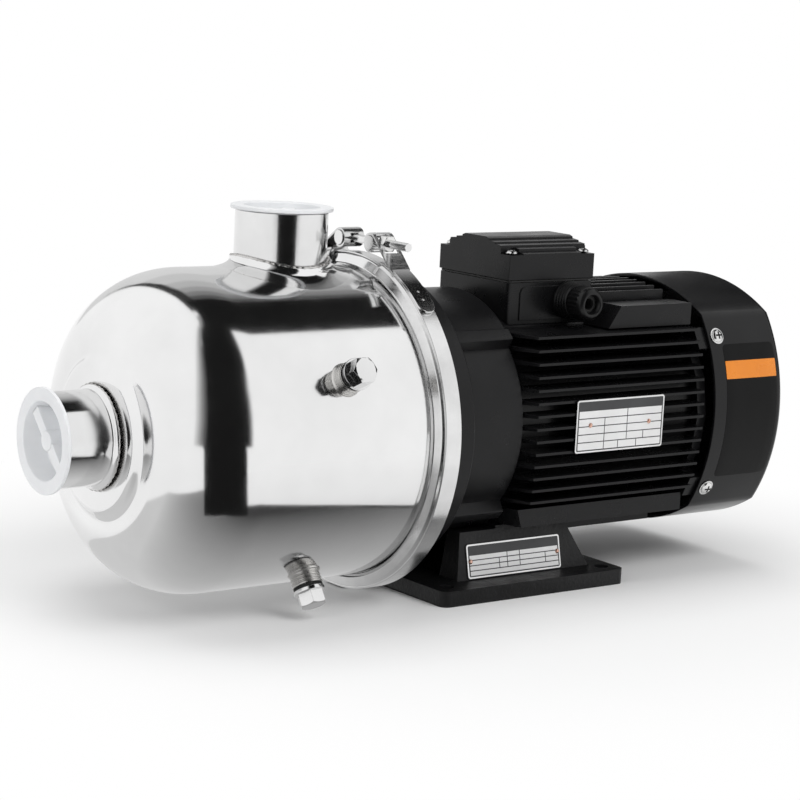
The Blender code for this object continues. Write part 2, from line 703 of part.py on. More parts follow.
def make_cap(name, matrix, bar_turn):
    """Plastic transport cap: a flange, a cup that plugs the bore, and a grip bar with a hub."""
    plug_radius = NOZZLE_BORE - SEAT_GAP
    mouth = plug_radius - CAP_WALL
    floor = -CAP_PLUG_LENGTH
    inside = [(floor + CAP_WALL, 0.0), (floor + CAP_WALL, mouth - CAP_TAPER), (CAP_FLANGE_THICKNESS, mouth)]
    outside = [(CAP_FLANGE_THICKNESS, CAP_FLANGE_RADIUS), (0.0, CAP_FLANGE_RADIUS), (0.0, plug_radius),
               (floor, plug_radius - CAP_TAPER), (floor, 0.0)]
    cap = turned(name, WHITE_PLASTIC, inside + outside, matrix, MEDIUM_ROUND)
    reach = mouth - CAP_TAPER / 2
    top = CAP_FLANGE_THICKNESS - CAP_BAR_DROP
    half = CAP_BAR_WIDTH / 2
    join(cap, block(name + "_bar", None, (-reach, -half, floor + CAP_WALL / 2), (reach, half, top),
                    matrix @ Matrix.Rotation(bar_turn, 4, "Z")))
    join(cap, cylinder(name + "_hub", None, CAP_HUB_RADIUS, floor + CAP_WALL / 2, top + CAP_WALL / 2, matrix,
                       SMALL_ROUND))
    return cap


def make_plug(name, angle):
    """Threaded boss on the barrel with a sealing washer and a hexagon head plug."""
    bore = PLUG_SHANK_RADIUS + SEAT_GAP
    boss = turned(name + "_boss", SATIN_STEEL, sleeve(-CASING_WALL / 2, PLUG_BOSS_HEIGHT, PLUG_BOSS_RADIUS, bore),
                  radial(angle, CASING_RADIUS, PLUG_X), SMALL_ROUND)
    cut(boss, cylinder(name + "_saddle", None, CASING_RADIUS + SEAT_GAP, -CASING_LENGTH, 0.0, along_x(),
                       LARGE_ROUND))
    washer_at = CASING_RADIUS + PLUG_BOSS_HEIGHT + SEAT_GAP
    turned(name + "_washer", BLACK_RUBBER, sleeve(0.0, PLUG_WASHER_THICKNESS, PLUG_WASHER_RADIUS, bore),
           radial(angle, washer_at, PLUG_X), SMALL_ROUND)
    seat = washer_at + PLUG_WASHER_THICKNESS + SEAT_GAP
    shank = [(-PLUG_SHANK_LENGTH, PLUG_SHANK_RADIUS), (0.0, PLUG_SHANK_RADIUS), (0.0, PLUG_COLLAR_RADIUS),
             (PLUG_COLLAR_THICKNESS, PLUG_COLLAR_RADIUS)]
    plug = turned(name + "_plug", STAINLESS, full(shank), radial(angle, seat, PLUG_X), SMALL_ROUND)
    join(plug, cylinder(name + "_hexagon", None, PLUG_HEX_RADIUS, PLUG_COLLAR_THICKNESS / 2,
                        PLUG_COLLAR_THICKNESS + PLUG_HEX_HEIGHT, radial(angle, seat, PLUG_X), HEX_SIDES))


# Clamp

def around(angle):
    """Angle from straight up towards the near side, measured instead from the far side."""
    return QUARTER_TURN + angle


def sector(inner, outer, start, end, count):
    """Ring sector in the Y Z plane between two angles from straight up."""
    return (arc((0.0, 0.0), outer, around(start), around(end), count)
            + arc((0.0, 0.0), inner, around(end), around(start), count))


def make_clamp_band():
    """V section ring that draws the two lips together, with a strap fused around it and open at the top."""
    slope = LIP_FLANK_RUN / (LIP_RADIUS - CASING_RADIUS)
    thickness = CLAMP_SHEET * math.hypot(1.0, slope)
    root_radius = CASING_RADIUS + CLAMP_SHEET
    top = LIP_HALF_WIDTH + SEAT_GAP
    root = LIP_ROOT + SEAT_GAP - CLAMP_SHEET * slope
    half = CLAMP_STRAP_HALF_WIDTH
    outer = [(-root - thickness, root_radius), (-top - thickness, CLAMP_SHEET_RADIUS), (-half, CLAMP_SHEET_RADIUS),
             (-half, CLAMP_OUTER_RADIUS)]
    inner = [(-root, root_radius), (-top, CLAMP_INNER_RADIUS)]
    outer += [(-height, radius) for height, radius in reversed(outer)]
    inner += [(-height, radius) for height, radius in reversed(inner)]
    band = turned("clamp_band", STAINLESS, hollow(outer, inner), along_x(), LARGE_ROUND)
    reach = CLAMP_OUTER_RADIUS + CUT_OVERRUN
    width = root + thickness + CUT_OVERRUN
    bridge = sector(CLAMP_INNER_RADIUS + CLAMP_BRIDGE_SHEET, reach, CLAMP_GAP_FAR, CLAMP_GAP_NEAR, CLAMP_GAP_SIDES)
    cut(band, prism("clamp_gap", None, [bridge], -width, width, along_x()))
    side = sector(CASING_RADIUS, reach, CLAMP_GAP_FAR - CLAMP_SLIT, CLAMP_GAP_NEAR + CLAMP_SLIT, CLAMP_GAP_SIDES)
    cut(band, prism("clamp_gap_front", None, [side], -width, -LIP_HALF_WIDTH, along_x()))
    cut(band, prism("clamp_gap_rear", None, [side], LIP_HALF_WIDTH, width, along_x()))
    slit = sector(CASING_RADIUS, reach, CLAMP_GAP_NEAR - CLAMP_SLIT * 2, CLAMP_GAP_NEAR - CLAMP_SLIT, 1)
    cut(band, prism("clamp_slit", None, [slit], -width, width, along_x()))
    return band


def ribbon(points, thickness):
    """Outline of a strip of even thickness along a line of points."""
    left = []
    right = []
    for index, point in enumerate(points):
        before = Vector(points[max(index - 1, 0)])
        after = Vector(points[min(index + 1, len(points) - 1)])
        into = (Vector(point) - before).normalized()
        out = (after - Vector(point)).normalized()
        along = (into + out).normalized()
        half = thickness / 2 / max(along.dot(into), along.dot(out))
        left.append((point[0] - along.y * half, point[1] + along.x * half))
        right.append((point[0] + along.y * half, point[1] - along.x * half))
    return left + right[::-1]


def strap_plan(name, start, end, side):
    """Plan of a strap along the radius: a narrow tongue with a round end, then the wider loop."""
    middle = (start + end) / 2
    shoulder = TONGUE_RADIUS * math.sin(abs(end - start) / 2)
    narrow = CLAMP_TONGUE_HALF_WIDTH
    wide = CLAMP_LOOP_HALF_WIDTH + CUT_OVERRUN
    reach = CLAMP_OUTER_RADIUS
    tip = arc((0.0, shoulder - narrow), narrow, 0, math.pi, CLAMP_TIP_SIDES)
    outline = [(-wide, -reach), (wide, -reach), (wide, -shoulder), (narrow, -shoulder)] + tip
    outline += [(-narrow, -shoulder), (-wide, -shoulder)]
    place = radial(QUARTER_TURN - middle, TONGUE_RADIUS, 0) @ Matrix.Rotation(math.pi * (1 - side) / 2, 4, "Z")
    return prism(name, None, [outline], -reach, reach, place)


def make_strap(name, trunnion, start, end, side, slot_half_width, slot_reach):
    """Strap that lies on the band, rises to a trunnion and wraps around it, slotted for the bolt."""
    middle = TONGUE_RADIUS + CLAMP_STRAP_SHEET / 2
    loop = CLAMP_LOOP_RADIUS + CLAMP_STRAP_SHEET / 2
    tongue = arc((0.0, 0.0), middle, around(end), around(start), CLAMP_TONGUE_SIDES)
    centre = Vector((trunnion, CLAMP_BOLT_HEIGHT))
    away = Vector(tongue[-1]) - centre
    tangent = math.atan2(away.y, away.x) + side * math.acos(loop / away.length)
    wrap = arc(centre, loop, tangent, tangent + side * CLAMP_LOOP_WRAP, CLAMP_LOOP_SIDES)
    strap = prism(name, STAINLESS, [ribbon(tongue + wrap, CLAMP_STRAP_SHEET)], -CLAMP_LOOP_HALF_WIDTH,
                  CLAMP_LOOP_HALF_WIDTH, along_x())
    combine(strap, "INTERSECT", strap_plan(name + "_plan", start, end, side))
    height = slot_half_width
    reach = CLAMP_LOOP_RADIUS + CLAMP_STRAP_SHEET + CUT_OVERRUN
    cut(strap, block(name + "_slot", None, (-slot_half_width, -reach - CUT_OVERRUN, -height),
                     (slot_half_width, slot_reach, height), upright(0, trunnion, CLAMP_BOLT_HEIGHT)))
    return strap


def make_clamp_fasteners():
    half = CLAMP_TRUNNION_HALF_LENGTH
    near = cylinder("clamp_trunnion", STAINLESS, CLAMP_TRUNNION_RADIUS, -half, half,
                    along_x(0, CLAMP_TRUNNION_NEAR, CLAMP_BOLT_HEIGHT), SMALL_ROUND)
    hole = CLAMP_BOLT_RADIUS + SEAT_GAP
    cut(near, cylinder("trunnion_hole", None, hole, -half, half,
                       towards_near(0, CLAMP_TRUNNION_NEAR, CLAMP_BOLT_HEIGHT), SCREW_ROUND))
    bolt = cylinder("clamp_t_bolt", STAINLESS, CLAMP_TRUNNION_RADIUS, -half, half,
                    along_x(0, CLAMP_TRUNNION_FAR, CLAMP_BOLT_HEIGHT), SMALL_ROUND)
    join(bolt, cylinder("t_bolt_shank", None, CLAMP_BOLT_RADIUS, 0.0, CLAMP_TRUNNION_FAR - CLAMP_BOLT_END,
                        towards_near(0, CLAMP_TRUNNION_FAR, CLAMP_BOLT_HEIGHT), SCREW_ROUND))
    nut_start = CLAMP_TRUNNION_NEAR - CLAMP_TRUNNION_RADIUS - SEAT_GAP
    turned("clamp_nut", SATIN_STEEL, sleeve(0.0, CLAMP_NUT_HEIGHT, CLAMP_NUT_RADIUS, hole),
           towards_near(0, nut_start, CLAMP_BOLT_HEIGHT), SCREW_ROUND)


# Seal plate, pump stages and shaft seal

def make_seal_plate():
    """Cover behind the last stage, with a collar that holds the fixed seal ring."""
    half = SEAL_PLATE_THICKNESS / 2
    hub = SEAL_SEAT_RADIUS + SEAT_GAP
    collar = hub + SEAL_COLLAR_WALL
    outer = [(-half, LIP_RADIUS), (half, LIP_RADIUS)]
    inner = [(-half, hub), (SEAL_COLLAR_END, hub), (SEAL_COLLAR_END, collar), (half, collar)]
    return turned("seal_plate", STAINLESS, hollow(outer, inner), along_x(), LARGE_ROUND)


def vane_outline(inner_radius, outer_radius, sweep, turn):
    """Backward curved vane of even thickness between two radii."""
    front = []
    back = []
    for index in range(VANE_SIDES + 1):
        share = index / VANE_SIDES
        radius = inner_radius + (outer_radius - inner_radius) * share
        angle = turn + sweep * share
        half = VANE_THICKNESS / 2 / radius
        front.append((radius * math.cos(angle - half), radius * math.sin(angle - half)))
        back.append((radius * math.cos(angle + half), radius * math.sin(angle + half)))
    return front + back[::-1]


def make_impeller(name, front_x):
    """Closed impeller: rear disc with hub, front disc with eye, curved vanes between them."""
    length = STAGE_PITCH - SEAT_GAP
    bore = SHAFT_PUMP_RADIUS + SEAT_GAP
    outer = [(0.0, IMPELLER_HUB_RADIUS), (IMPELLER_REAR, IMPELLER_HUB_RADIUS), (IMPELLER_REAR, IMPELLER_RADIUS),
             (IMPELLER_REAR + IMPELLER_SHEET, IMPELLER_RADIUS),
             (IMPELLER_REAR + IMPELLER_SHEET, IMPELLER_HUB_RADIUS), (length, IMPELLER_HUB_RADIUS)]
    impeller = turned(name, STAINLESS, hollow(outer, [(0.0, bore), (length, bore)]), along_x(front_x), SMALL_ROUND)
    eye = IMPELLER_EYE_RADIUS
    neck = IMPELLER_NECK_LENGTH
    front = neck + IMPELLER_SHEET
    vanes = [vane_outline(eye - IMPELLER_SHEET * 2, IMPELLER_RADIUS - VANE_THICKNESS, IMPELLER_VANE_SWEEP, turn)
             for turn in spread(IMPELLER_VANE_COUNT)]
    join(impeller, prism(name + "_vanes", None, vanes, front - IMPELLER_SHEET / 2,
                         IMPELLER_REAR + IMPELLER_SHEET / 2, along_x(front_x)))
    shroud = [(0.0, eye), (neck, eye), (neck, IMPELLER_RADIUS), (front, IMPELLER_RADIUS)]
    inside = [(0.0, eye - IMPELLER_SHEET), (front, eye - IMPELLER_SHEET)]
    join(impeller, turned(name + "_shroud", None, hollow(shroud, inside), along_x(front_x), SMALL_ROUND))
    return impeller


def make_bowl(name, front_x, has_vanes):
    """Stage bowl: outer wall and front wall with the eye, the return vanes and their baffle before it."""
    length = STAGE_PITCH - SEAT_GAP
    outer = [(0.0, BOWL_RADIUS), (length, BOWL_RADIUS)]
    inner = [(0.0, BOWL_EYE_RADIUS), (BOWL_WALL, BOWL_EYE_RADIUS), (BOWL_WALL, BOWL_INNER_RADIUS),
             (length, BOWL_INNER_RADIUS)]
    bowl = turned(name, STAINLESS, hollow(outer, inner), along_x(front_x), CORE_ROUND)
    if has_vanes:
        vanes = [vane_outline(BOWL_EYE_RADIUS, BOWL_BAFFLE_RADIUS - BOWL_WALL, -IMPELLER_VANE_SWEEP / 2, turn)
                 for turn in spread(BOWL_VANE_COUNT)]
        join(bowl, prism(name + "_vanes", None, vanes, -RETURN_VANE_HEIGHT - BOWL_WALL / 2, BOWL_WALL / 2,
                         along_x(front_x)))
        hub = IMPELLER_HUB_RADIUS + WEAR_RING_GAP
        join(bowl, turned(name + "_baffle", None,
                          sleeve(-RETURN_VANE_HEIGHT - BOWL_WALL, -RETURN_VANE_HEIGHT, BOWL_BAFFLE_RADIUS, hub),
                          along_x(front_x), SMALL_ROUND))
    return bowl


def make_stages():
    for index in range(STAGE_COUNT):
        front_x = PUMP_FRONT_X + index * STAGE_PITCH
        make_bowl("stage_bowl_%d" % (index + 1), front_x, index > 0)
        make_impeller("impeller_%d" % (index + 1), front_x)
    rear = PUMP_FRONT_X - SEAT_GAP
    front = INLET_FACE_X + CASING_WALL + SEAT_GAP
    wall = SUCTION_BELL_WALL
    outer = [(front, NOZZLE_BORE + wall), (rear - wall, BOWL_EYE_RADIUS + wall), (rear - wall, BOWL_INNER_RADIUS),
             (rear, BOWL_INNER_RADIUS)]
    inner = [(front, NOZZLE_BORE), (rear, BOWL_EYE_RADIUS)]
    turned("suction_bell", STAINLESS, hollow(outer, inner), along_x(), CORE_ROUND)


def make_shaft_seal():
    seat_front = -SEAL_PLATE_THICKNESS / 2
    turned("seal_seat", CERAMIC, sleeve(seat_front, SEAL_COLLAR_END, SEAL_SEAT_RADIUS, SEAL_BORE_RADIUS), along_x(),
           SMALL_ROUND)
    front = STAGE_REAR_X + SEAT_GAP
    rear = seat_front - SEAT_GAP
    bore = SHAFT_SEAL_RADIUS + SEAT_GAP
    bellows = (SEAL_FACE_RADIUS + bore) / 2
    step = (front + rear) / 2
    outer = [(front, bellows), (step, bellows), (step, SEAL_FACE_RADIUS), (rear, SEAL_FACE_RADIUS)]
    turned("seal_head", BLACK_RUBBER, hollow(outer, [(front, bore), (rear, bore)]), along_x(), SHAFT_ROUND)


def make_shaft():
    seal_start = STAGE_REAR_X + SEAT_GAP / 2
    half = BEARING_WIDTH / 2
    steps = [(SHAFT_TIP_X, SHAFT_PUMP_RADIUS), (seal_start, SHAFT_SEAL_RADIUS),
             (FRONT_BEARING_X - BEARING_WIDTH, SHAFT_FRONT_BEARING_RADIUS),
             (FRONT_BEARING_X + half + SEAT_GAP, SHAFT_CORE_RADIUS),
             (REAR_BEARING_X - half - SEAT_GAP, SHAFT_REAR_BEARING_RADIUS), (REAR_BEARING_X + half, SHAFT_FAN_RADIUS)]
    points = []
    ends = [start for start, radius in steps[1:]] + [SHAFT_END_X]
    for (start, radius), end in zip(steps, ends):
        points += [(start, radius), (end, radius)]
    turned("shaft", SATIN_STEEL, full(points), along_x(), SHAFT_ROUND)
    rear = PUMP_FRONT_X - SEAT_GAP
    turned("impeller_nut", SATIN_STEEL,
           sleeve(SHAFT_TIP_X + SHAFT_PUMP_RADIUS / 4, rear, IMPELLER_NUT_RADIUS, SHAFT_PUMP_RADIUS + SEAT_GAP),
           along_x(), SHAFT_ROUND)


def make_bearing(name, centre_x, shaft_radius):
    """Deep groove bearing as its two rings, the inner one thickened over the cage space."""
    half = BEARING_WIDTH / 2
    race = BEARING_RADIUS - BEARING_RACE_WALL
    turned(name + "_outer_ring", SATIN_STEEL, sleeve(-half, half, BEARING_RADIUS, race), along_x(centre_x),
           SHAFT_ROUND)
    turned(name + "_inner_ring", SATIN_STEEL,
           sleeve(-half, half, race - BEARING_BALL_SPACE, shaft_radius + SEAT_GAP), along_x(centre_x), SHAFT_ROUND)


# Lantern

def lantern_envelope(neck, clearance):
    """Outside line of the lantern behind its flange."""
    return [(LIP_ROOT, LANTERN_SHOULDER_RADIUS + clearance),
            (LANTERN_SHOULDER_LENGTH, LANTERN_SHOULDER_RADIUS + clearance),
            (LANTERN_SHOULDER_LENGTH + LANTERN_NECK_SLOPE, neck + clearance), (LANTERN_REAR_X, neck + clearance)]


def lantern_saddle():
    """Raised upper quarter of the neck, with a square ridge along each edge."""
    root = LANTERN_NECK_RADIUS - LANTERN_WALL / 2
    low = EIGHTH_TURN - LANTERN_LUG_ROOT_DROP
    edge = EIGHTH_TURN - LANTERN_LUG_TIP_DROP
    high = EIGHTH_TURN + LANTERN_LUG_TIP_DROP
    points = [(root, low), (LANTERN_LUG_REACH, edge), (LANTERN_LUG_REACH, high)]
    half = [(radius * math.cos(angle), radius * math.sin(angle)) for radius, angle in points]
    crown = arc((0.0, 0.0), LANTERN_SADDLE_RADIUS, high, math.pi - high, SADDLE_SIDES)
    floor = arc((0.0, 0.0), root, math.pi - low, low, SADDLE_SIDES)[1:-1]
    return half + crown + [(-across, up) for across, up in reversed(half)] + floor


def make_lantern():
    outer = [(LIP_FACE_X, LIP_RADIUS), (LIP_HALF_WIDTH, LIP_RADIUS), (LIP_ROOT, CASING_RADIUS)]
    outer += lantern_envelope(LANTERN_NECK_RADIUS, 0.0)
    floor = LANTERN_REAR_X - LANTERN_FLOOR_THICKNESS
    seat = FRONT_BEARING_X - BEARING_WIDTH / 2 - SEAT_GAP
    cavity = LANTERN_NECK_RADIUS - LANTERN_WALL
    boss = BEARING_SEAT_RADIUS + LANTERN_WALL
    shaft_hole = BEARING_RADIUS - BEARING_RACE_WALL
    inner = [(LIP_FACE_X, cavity), (floor, cavity), (floor, boss), (seat - LANTERN_BEARING_LIP, boss),
             (seat - LANTERN_BEARING_LIP, shaft_hole),
             (seat, shaft_hole), (seat, BEARING_SEAT_RADIUS), (LANTERN_REAR_X, BEARING_SEAT_RADIUS)]
    lantern = turned("lantern", BLACK_PAINT, hollow(outer, inner), along_x(), LARGE_ROUND)
    saddles = [turned_about(lantern_saddle(), turn) for turn in (0, math.pi)]
    join(lantern, prism("lantern_saddles", None, saddles, LANTERN_SHOULDER_LENGTH / 2, LANTERN_REAR_X - SEAT_GAP,
                        along_x()))
    return lantern


# Motor frame

def side_tip(height):
    return FRAME_SIDE_HALF_WIDTH - height ** 2 / (2 * FIN_BULGE_RADIUS)


def top_tip(across):
    return FRAME_TOP_HALF_HEIGHT - across ** 2 / (2 * FIN_BULGE_RADIUS)


def core_at(offset):
    return math.sqrt(FRAME_CORE_RADIUS ** 2 - offset ** 2)


def fin_points(offset, tip):
    """One fin as (offset, reach) points, from its low side over the tip to its high side."""
    low = offset - FIN_ROOT_HALF_THICKNESS
    high = offset + FIN_ROOT_HALF_THICKNESS
    return [(low, core_at(low)), (offset - FIN_TIP_HALF_THICKNESS, tip),
            (offset + FIN_TIP_HALF_THICKNESS, tip), (high, core_at(high))]


def pad_points(half_width, near_edge, far_edge):
    """Corner pad as (across, up) points, from the core under it round to the core beside it."""
    root = core_at(near_edge) - PAD_ROOT_INSET
    return [(core_at(near_edge), near_edge), (half_width, near_edge), (half_width, far_edge),
            (PAD_INNER, far_edge), (root, core_at(root))]


def frame_outline():
    """Section of the finned frame, counter-clockwise from below the middle of the far side."""
    side = []
    for index in range(-SIDE_FIN_COUNT, SIDE_FIN_COUNT + SIDE_FIN_EXTRA_COUNT + 1):
        offset = index * SIDE_FIN_PITCH
        side += [(reach, up) for up, reach in fin_points(offset, side_tip(offset))]
    upper = pad_points(UPPER_PAD_HALF_WIDTH, UPPER_PAD_BOTTOM, UPPER_PAD_TOP)
    lower = pad_points(LOWER_PAD_HALF_WIDTH, LOWER_PAD_TOP, LOWER_PAD_BOTTOM)
    half_top = []
    for index in range(TOP_FIN_COUNT, -TOP_FIN_COUNT - 1, -1):
        offset = index * TOP_FIN_PITCH
        half_top += reversed(fin_points(offset, top_tip(offset)))
    left_upper = [(-across, up) for across, up in reversed(upper)]
    left_side = [(-across, up) for across, up in reversed(side)]
    left_lower = [(-across, -up) for across, up in lower]
    bottom = [(-across, -up) for across, up in half_top]
    right_lower = [(across, -up) for across, up in reversed(lower)]
    return side + upper + half_top + left_upper + left_side + left_lower + bottom + right_lower


def box_footprint(name):
    """Space of the terminal box above its seat on the frame core, open towards the lantern."""
    reach = BOX_HALF_WIDTH + PANEL_RISE + SEAT_GAP
    footprint = block(name, None, (FRAME_FRONT_X - CUT_OVERRUN, -reach, FRAME_BORE_RADIUS / 2),
                      (BOX_REAR_X + SEAT_GAP, reach, BOX_SPLIT + CUT_OVERRUN))
    return cut(footprint, cylinder(name + "_seat", None, BOX_SEAT_RADIUS, 0.0, FRAME_REAR_X, along_x(),
                                   LARGE_ROUND))


def make_frame():
    bore = circle(FRAME_BORE_RADIUS, CORE_ROUND)
    frame = prism("motor_frame", BLACK_PAINT, [frame_outline(), bore], 0.0, FRAME_LENGTH, along_x(FRAME_FRONT_X))
    start = FRAME_FRONT_X - CUT_OVERRUN
    foot = FRAME_CORE_RADIUS + FIN_CHAMFER_FOOT
    tip = foot + FIN_CHAMFER_RISE * 2
    chamfer = [(start, tip), (FRAME_FRONT_X + FIN_CHAMFER_RUN * 2, tip)]
    cut(frame, turned("fin_chamfer", None, hollow(chamfer, [(start, foot), (FRAME_FRONT_X, foot)]), along_x(),
                      CORE_ROUND))
    cut(frame, box_footprint("frame_box_seat"))
    pad_end = FRAME_FRONT_X + UPPER_PAD_START
    height = UPPER_PAD_TOP + CUT_OVERRUN
    low = UPPER_PAD_BOTTOM - FIN_TIP_HALF_THICKNESS / 2
    side = [(start, low), (pad_end, low), (pad_end + UPPER_PAD_SLOPE, height), (start, height)]
    inner = core_at(UPPER_PAD_BOTTOM) - PAD_ROOT_INSET * 2
    outer = UPPER_PAD_HALF_WIDTH + CUT_OVERRUN
    for name, bottom, top in (("far_pad_front", -outer, -inner), ("near_pad_front", inner, outer)):
        cutter = prism(name, None, [side], bottom, top, towards_near(0, 0, 0))
        cut(cutter, cylinder(name + "_core", None, FRAME_CORE_RADIUS + FIN_CHAMFER_FOOT / 2, 0.0, FRAME_REAR_X,
                             along_x(), LARGE_ROUND))
        cut(frame, cutter)
    cut(frame, cylinder("frame_wire_hole", None, WIRE_HOLE_RADIUS, FRAME_BORE_RADIUS - CUT_OVERRUN, BOX_SPLIT,
                        upright(WIRE_HOLE_X), SCREW_ROUND))
    return frame


# Stator, rotor and windings

def slot_outline():
    """Stator bore with one tooth and one slot after another."""
    points = []
    root = STATOR_BORE_RADIUS + SLOT_DEPTH
    for middle in spread(STATOR_SLOT_COUNT):
        for radius, side in ((STATOR_BORE_RADIUS, -1), (root, -1), (root, 1), (STATOR_BORE_RADIUS, 1)):
            angle = middle + side * math.atan2(SLOT_HALF_WIDTH, radius)
            points.append((radius * math.cos(angle), radius * math.sin(angle)))
    return points


def make_stator():
    half = STATOR_LENGTH / 2
    prism("stator_core", SILICON_STEEL, [circle(STATOR_RADIUS, CORE_ROUND), slot_outline()], -half, half,
          along_x(STATOR_CENTRE_X))
    inner = STATOR_BORE_RADIUS + COIL_MARGIN * 2
    outer = STATOR_BORE_RADIUS + SLOT_DEPTH - COIL_MARGIN
    start = half + SEAT_GAP
    end = start + WINDING_OVERHANG
    place = along_x(STATOR_CENTRE_X)
    section = hollow([(start, outer), (end, outer - COIL_MARGIN)], [(start, inner), (end, inner + COIL_MARGIN)])
    windings = turned("stator_windings", COPPER, section, place, STATOR_SLOT_COUNT)
    join(windings, turned("rear_winding_ring", None, section, place @ Matrix.Rotation(math.pi, 4, "X"),
                          STATOR_SLOT_COUNT))
    bar = rectangle(inner + COIL_MARGIN, outer - COIL_MARGIN, COIL_MARGIN - SLOT_HALF_WIDTH,
                    SLOT_HALF_WIDTH - COIL_MARGIN)
    reach = start + WINDING_OVERHANG / 4
    join(windings, prism("slot_coils", None, [turned_about(bar, turn) for turn in spread(STATOR_SLOT_COUNT)],
                         -reach, reach, place))
    return windings


def make_rotor():
    half = STATOR_LENGTH / 2
    bore = SHAFT_CORE_RADIUS + SEAT_GAP
    end = half + ROTOR_END_RING
    ring = ROTOR_RADIUS - COIL_MARGIN * 2
    outer = [(-end, ring), (-half, ring), (-half, ROTOR_RADIUS), (half, ROTOR_RADIUS), (half, ring), (end, ring)]
    turned("rotor_core", ALUMINIUM, hollow(outer, [(-end, bore), (end, bore)]), along_x(STATOR_CENTRE_X),
           SHAFT_ROUND * 2)


# Rear end shield, fan and cover

def cover_outline(inset):
    """Square with four bulged sides that meet in creases at the corners."""
    radius = COVER_BULGE_RADIUS - inset
    shift = COVER_BULGE_RADIUS - COVER_HALF_WIDTH
    corner = (math.sqrt(2 * radius ** 2 - shift ** 2) - shift) / 2
    reach = math.asin(corner / radius)
    side = arc((-shift, 0.0), radius, -reach, reach, COVER_SIDE_SEGMENTS)[:-1]
    points = []
    for turn in spread(4):
        points += turned_about(side, turn)
    return points


def screw_frame(side, level):
    """Frame on the cover's side wall at a fixing screw, Z pointing outwards."""
    angle = math.asin(COVER_SCREW_HEIGHT / COVER_BULGE_RADIUS)
    across = COVER_BULGE_RADIUS * math.cos(angle) - (COVER_BULGE_RADIUS - COVER_HALF_WIDTH)
    normal = Vector((0, side * math.cos(angle), level * math.sin(angle)))
    return frame_towards((COVER_SCREW_X, side * across, level * COVER_SCREW_HEIGHT), normal, X_AXIS)


def screw_places():
    return [(side, level) for side in (-1, 1) for level in (1, -1)]


def cut_screw_holes(piece, name, depth):
    for index, (side, level) in enumerate(screw_places()):
        cut(piece, cylinder("%s_%d" % (name, index), None, COVER_SCREW_RADIUS + SEAT_GAP, -depth, CUT_OVERRUN,
                            screw_frame(side, level), SCREW_ROUND))


def make_rear_shield():
    """Rear bearing shield with a dished face, a bearing boss and four lugs that carry the cover."""
    wall = REAR_SHIELD_WALL
    boss = BEARING_SEAT_RADIUS + REAR_SHIELD_BOSS_WALL
    face = REAR_SHIELD_THICKNESS
    seat_end = face + BEARING_WIDTH + SEAT_GAP
    spigot = FRAME_BORE_RADIUS - SEAT_GAP
    rim = REAR_SHIELD_DISH_RADIUS
    hole = SHAFT_REAR_BEARING_RADIUS + RUNNING_GAP
    outer = [(-REAR_SHIELD_SPIGOT, spigot), (0.0, spigot), (0.0, rim), (face, rim), (face, boss),
             (seat_end + wall, boss)]
    inner = [(-REAR_SHIELD_SPIGOT, spigot - wall), (face - wall, spigot - wall), (face - wall, BEARING_SEAT_RADIUS),
             (seat_end, BEARING_SEAT_RADIUS), (seat_end, hole), (seat_end + wall, hole)]
    shield = turned("rear_end_shield", BLACK_PAINT, hollow(outer, inner), along_x(REAR_SHIELD_X), CORE_ROUND)
    half = REAR_SHIELD_LUG_HALF_WIDTH
    start = REAR_SHIELD_X + SEAT_GAP
    for index, (side, level) in enumerate(screw_places()):
        lug = block("shield_lug_%d" % index, None, (start - COVER_SCREW_X, -half, -REAR_SHIELD_LUG_DEPTH),
                    (half, half, half), screw_frame(side, level))
        combine(lug, "INTERSECT", prism("shield_lug_limit_%d" % index, None, [cover_outline(COVER_SHEET + SEAT_GAP)],
                                        FRAME_REAR_X, COVER_REAR_X, along_x()))
        join(shield, lug)
    cut_screw_holes(shield, "shield_screw_hole", COVER_SCREW_LENGTH + CUT_OVERRUN)
    return shield


def arc_slot(radius, start, end):
    """Curved slot with square ends on a ring."""
    half = GRILLE_SLOT_HALF_WIDTH
    return (arc((0.0, 0.0), radius + half, start, end, GRILLE_SLOT_SIDES)
            + arc((0.0, 0.0), radius - half, end, start, GRILLE_SLOT_SIDES))


def make_cover():
    """Pressed fan cover: bulged square tube with a flat slotted rear."""
    cover = prism("fan_cover", BLACK_PAINT, [cover_outline(0.0)], COVER_FRONT_X, COVER_REAR_X, along_x())
    group = cover.vertex_groups.new(name="rear_edge")
    middle = (COVER_FRONT_X + COVER_REAR_X) / 2
    group.add([vertex.index for vertex in cover.data.vertices if vertex.co.z > middle], 1.0, "ADD")
    bevel = cover.modifiers.new("rear_edge", "BEVEL")
    bevel.width = COVER_REAR_ROUND
    bevel.segments = 2
    bevel.limit_method = "VGROUP"
    bevel.vertex_group = group.name
    cut(cover, prism("cover_inside", None, [cover_outline(COVER_SHEET)], COVER_FRONT_X - CUT_OVERRUN,
                     COVER_REAR_X - COVER_REAR_ROUND, along_x()))
    face = cover_outline(COVER_REAR_ROUND)
    cut(cover, prism("cover_rear_inside", None, [face], COVER_FRONT_X, COVER_REAR_X - COVER_SHEET, along_x()))
    slots = []
    for share in GRILLE_RING_SHARES:
        radius = COVER_HALF_WIDTH * share
        rib = GRILLE_RIB / 2 / radius
        for turn in spread(GRILLE_SLOT_COUNT):
            slots.append(arc_slot(radius, turn + rib, turn + FULL_TURN / GRILLE_SLOT_COUNT - rib))
    cut(cover, prism("grille_slots", None, slots, COVER_REAR_X - CUT_OVERRUN, COVER_REAR_X + CUT_OVERRUN,
                     along_x()))
    cut_screw_holes(cover, "cover_screw_hole", CUT_OVERRUN)
    return cover


def screw_profile(length, radius, head_radius, head_height):
    """Pan head screw with the underside of its head at zero."""
    return full([(-length, radius), (0.0, radius), (0.0, head_radius), (head_height, head_radius)])


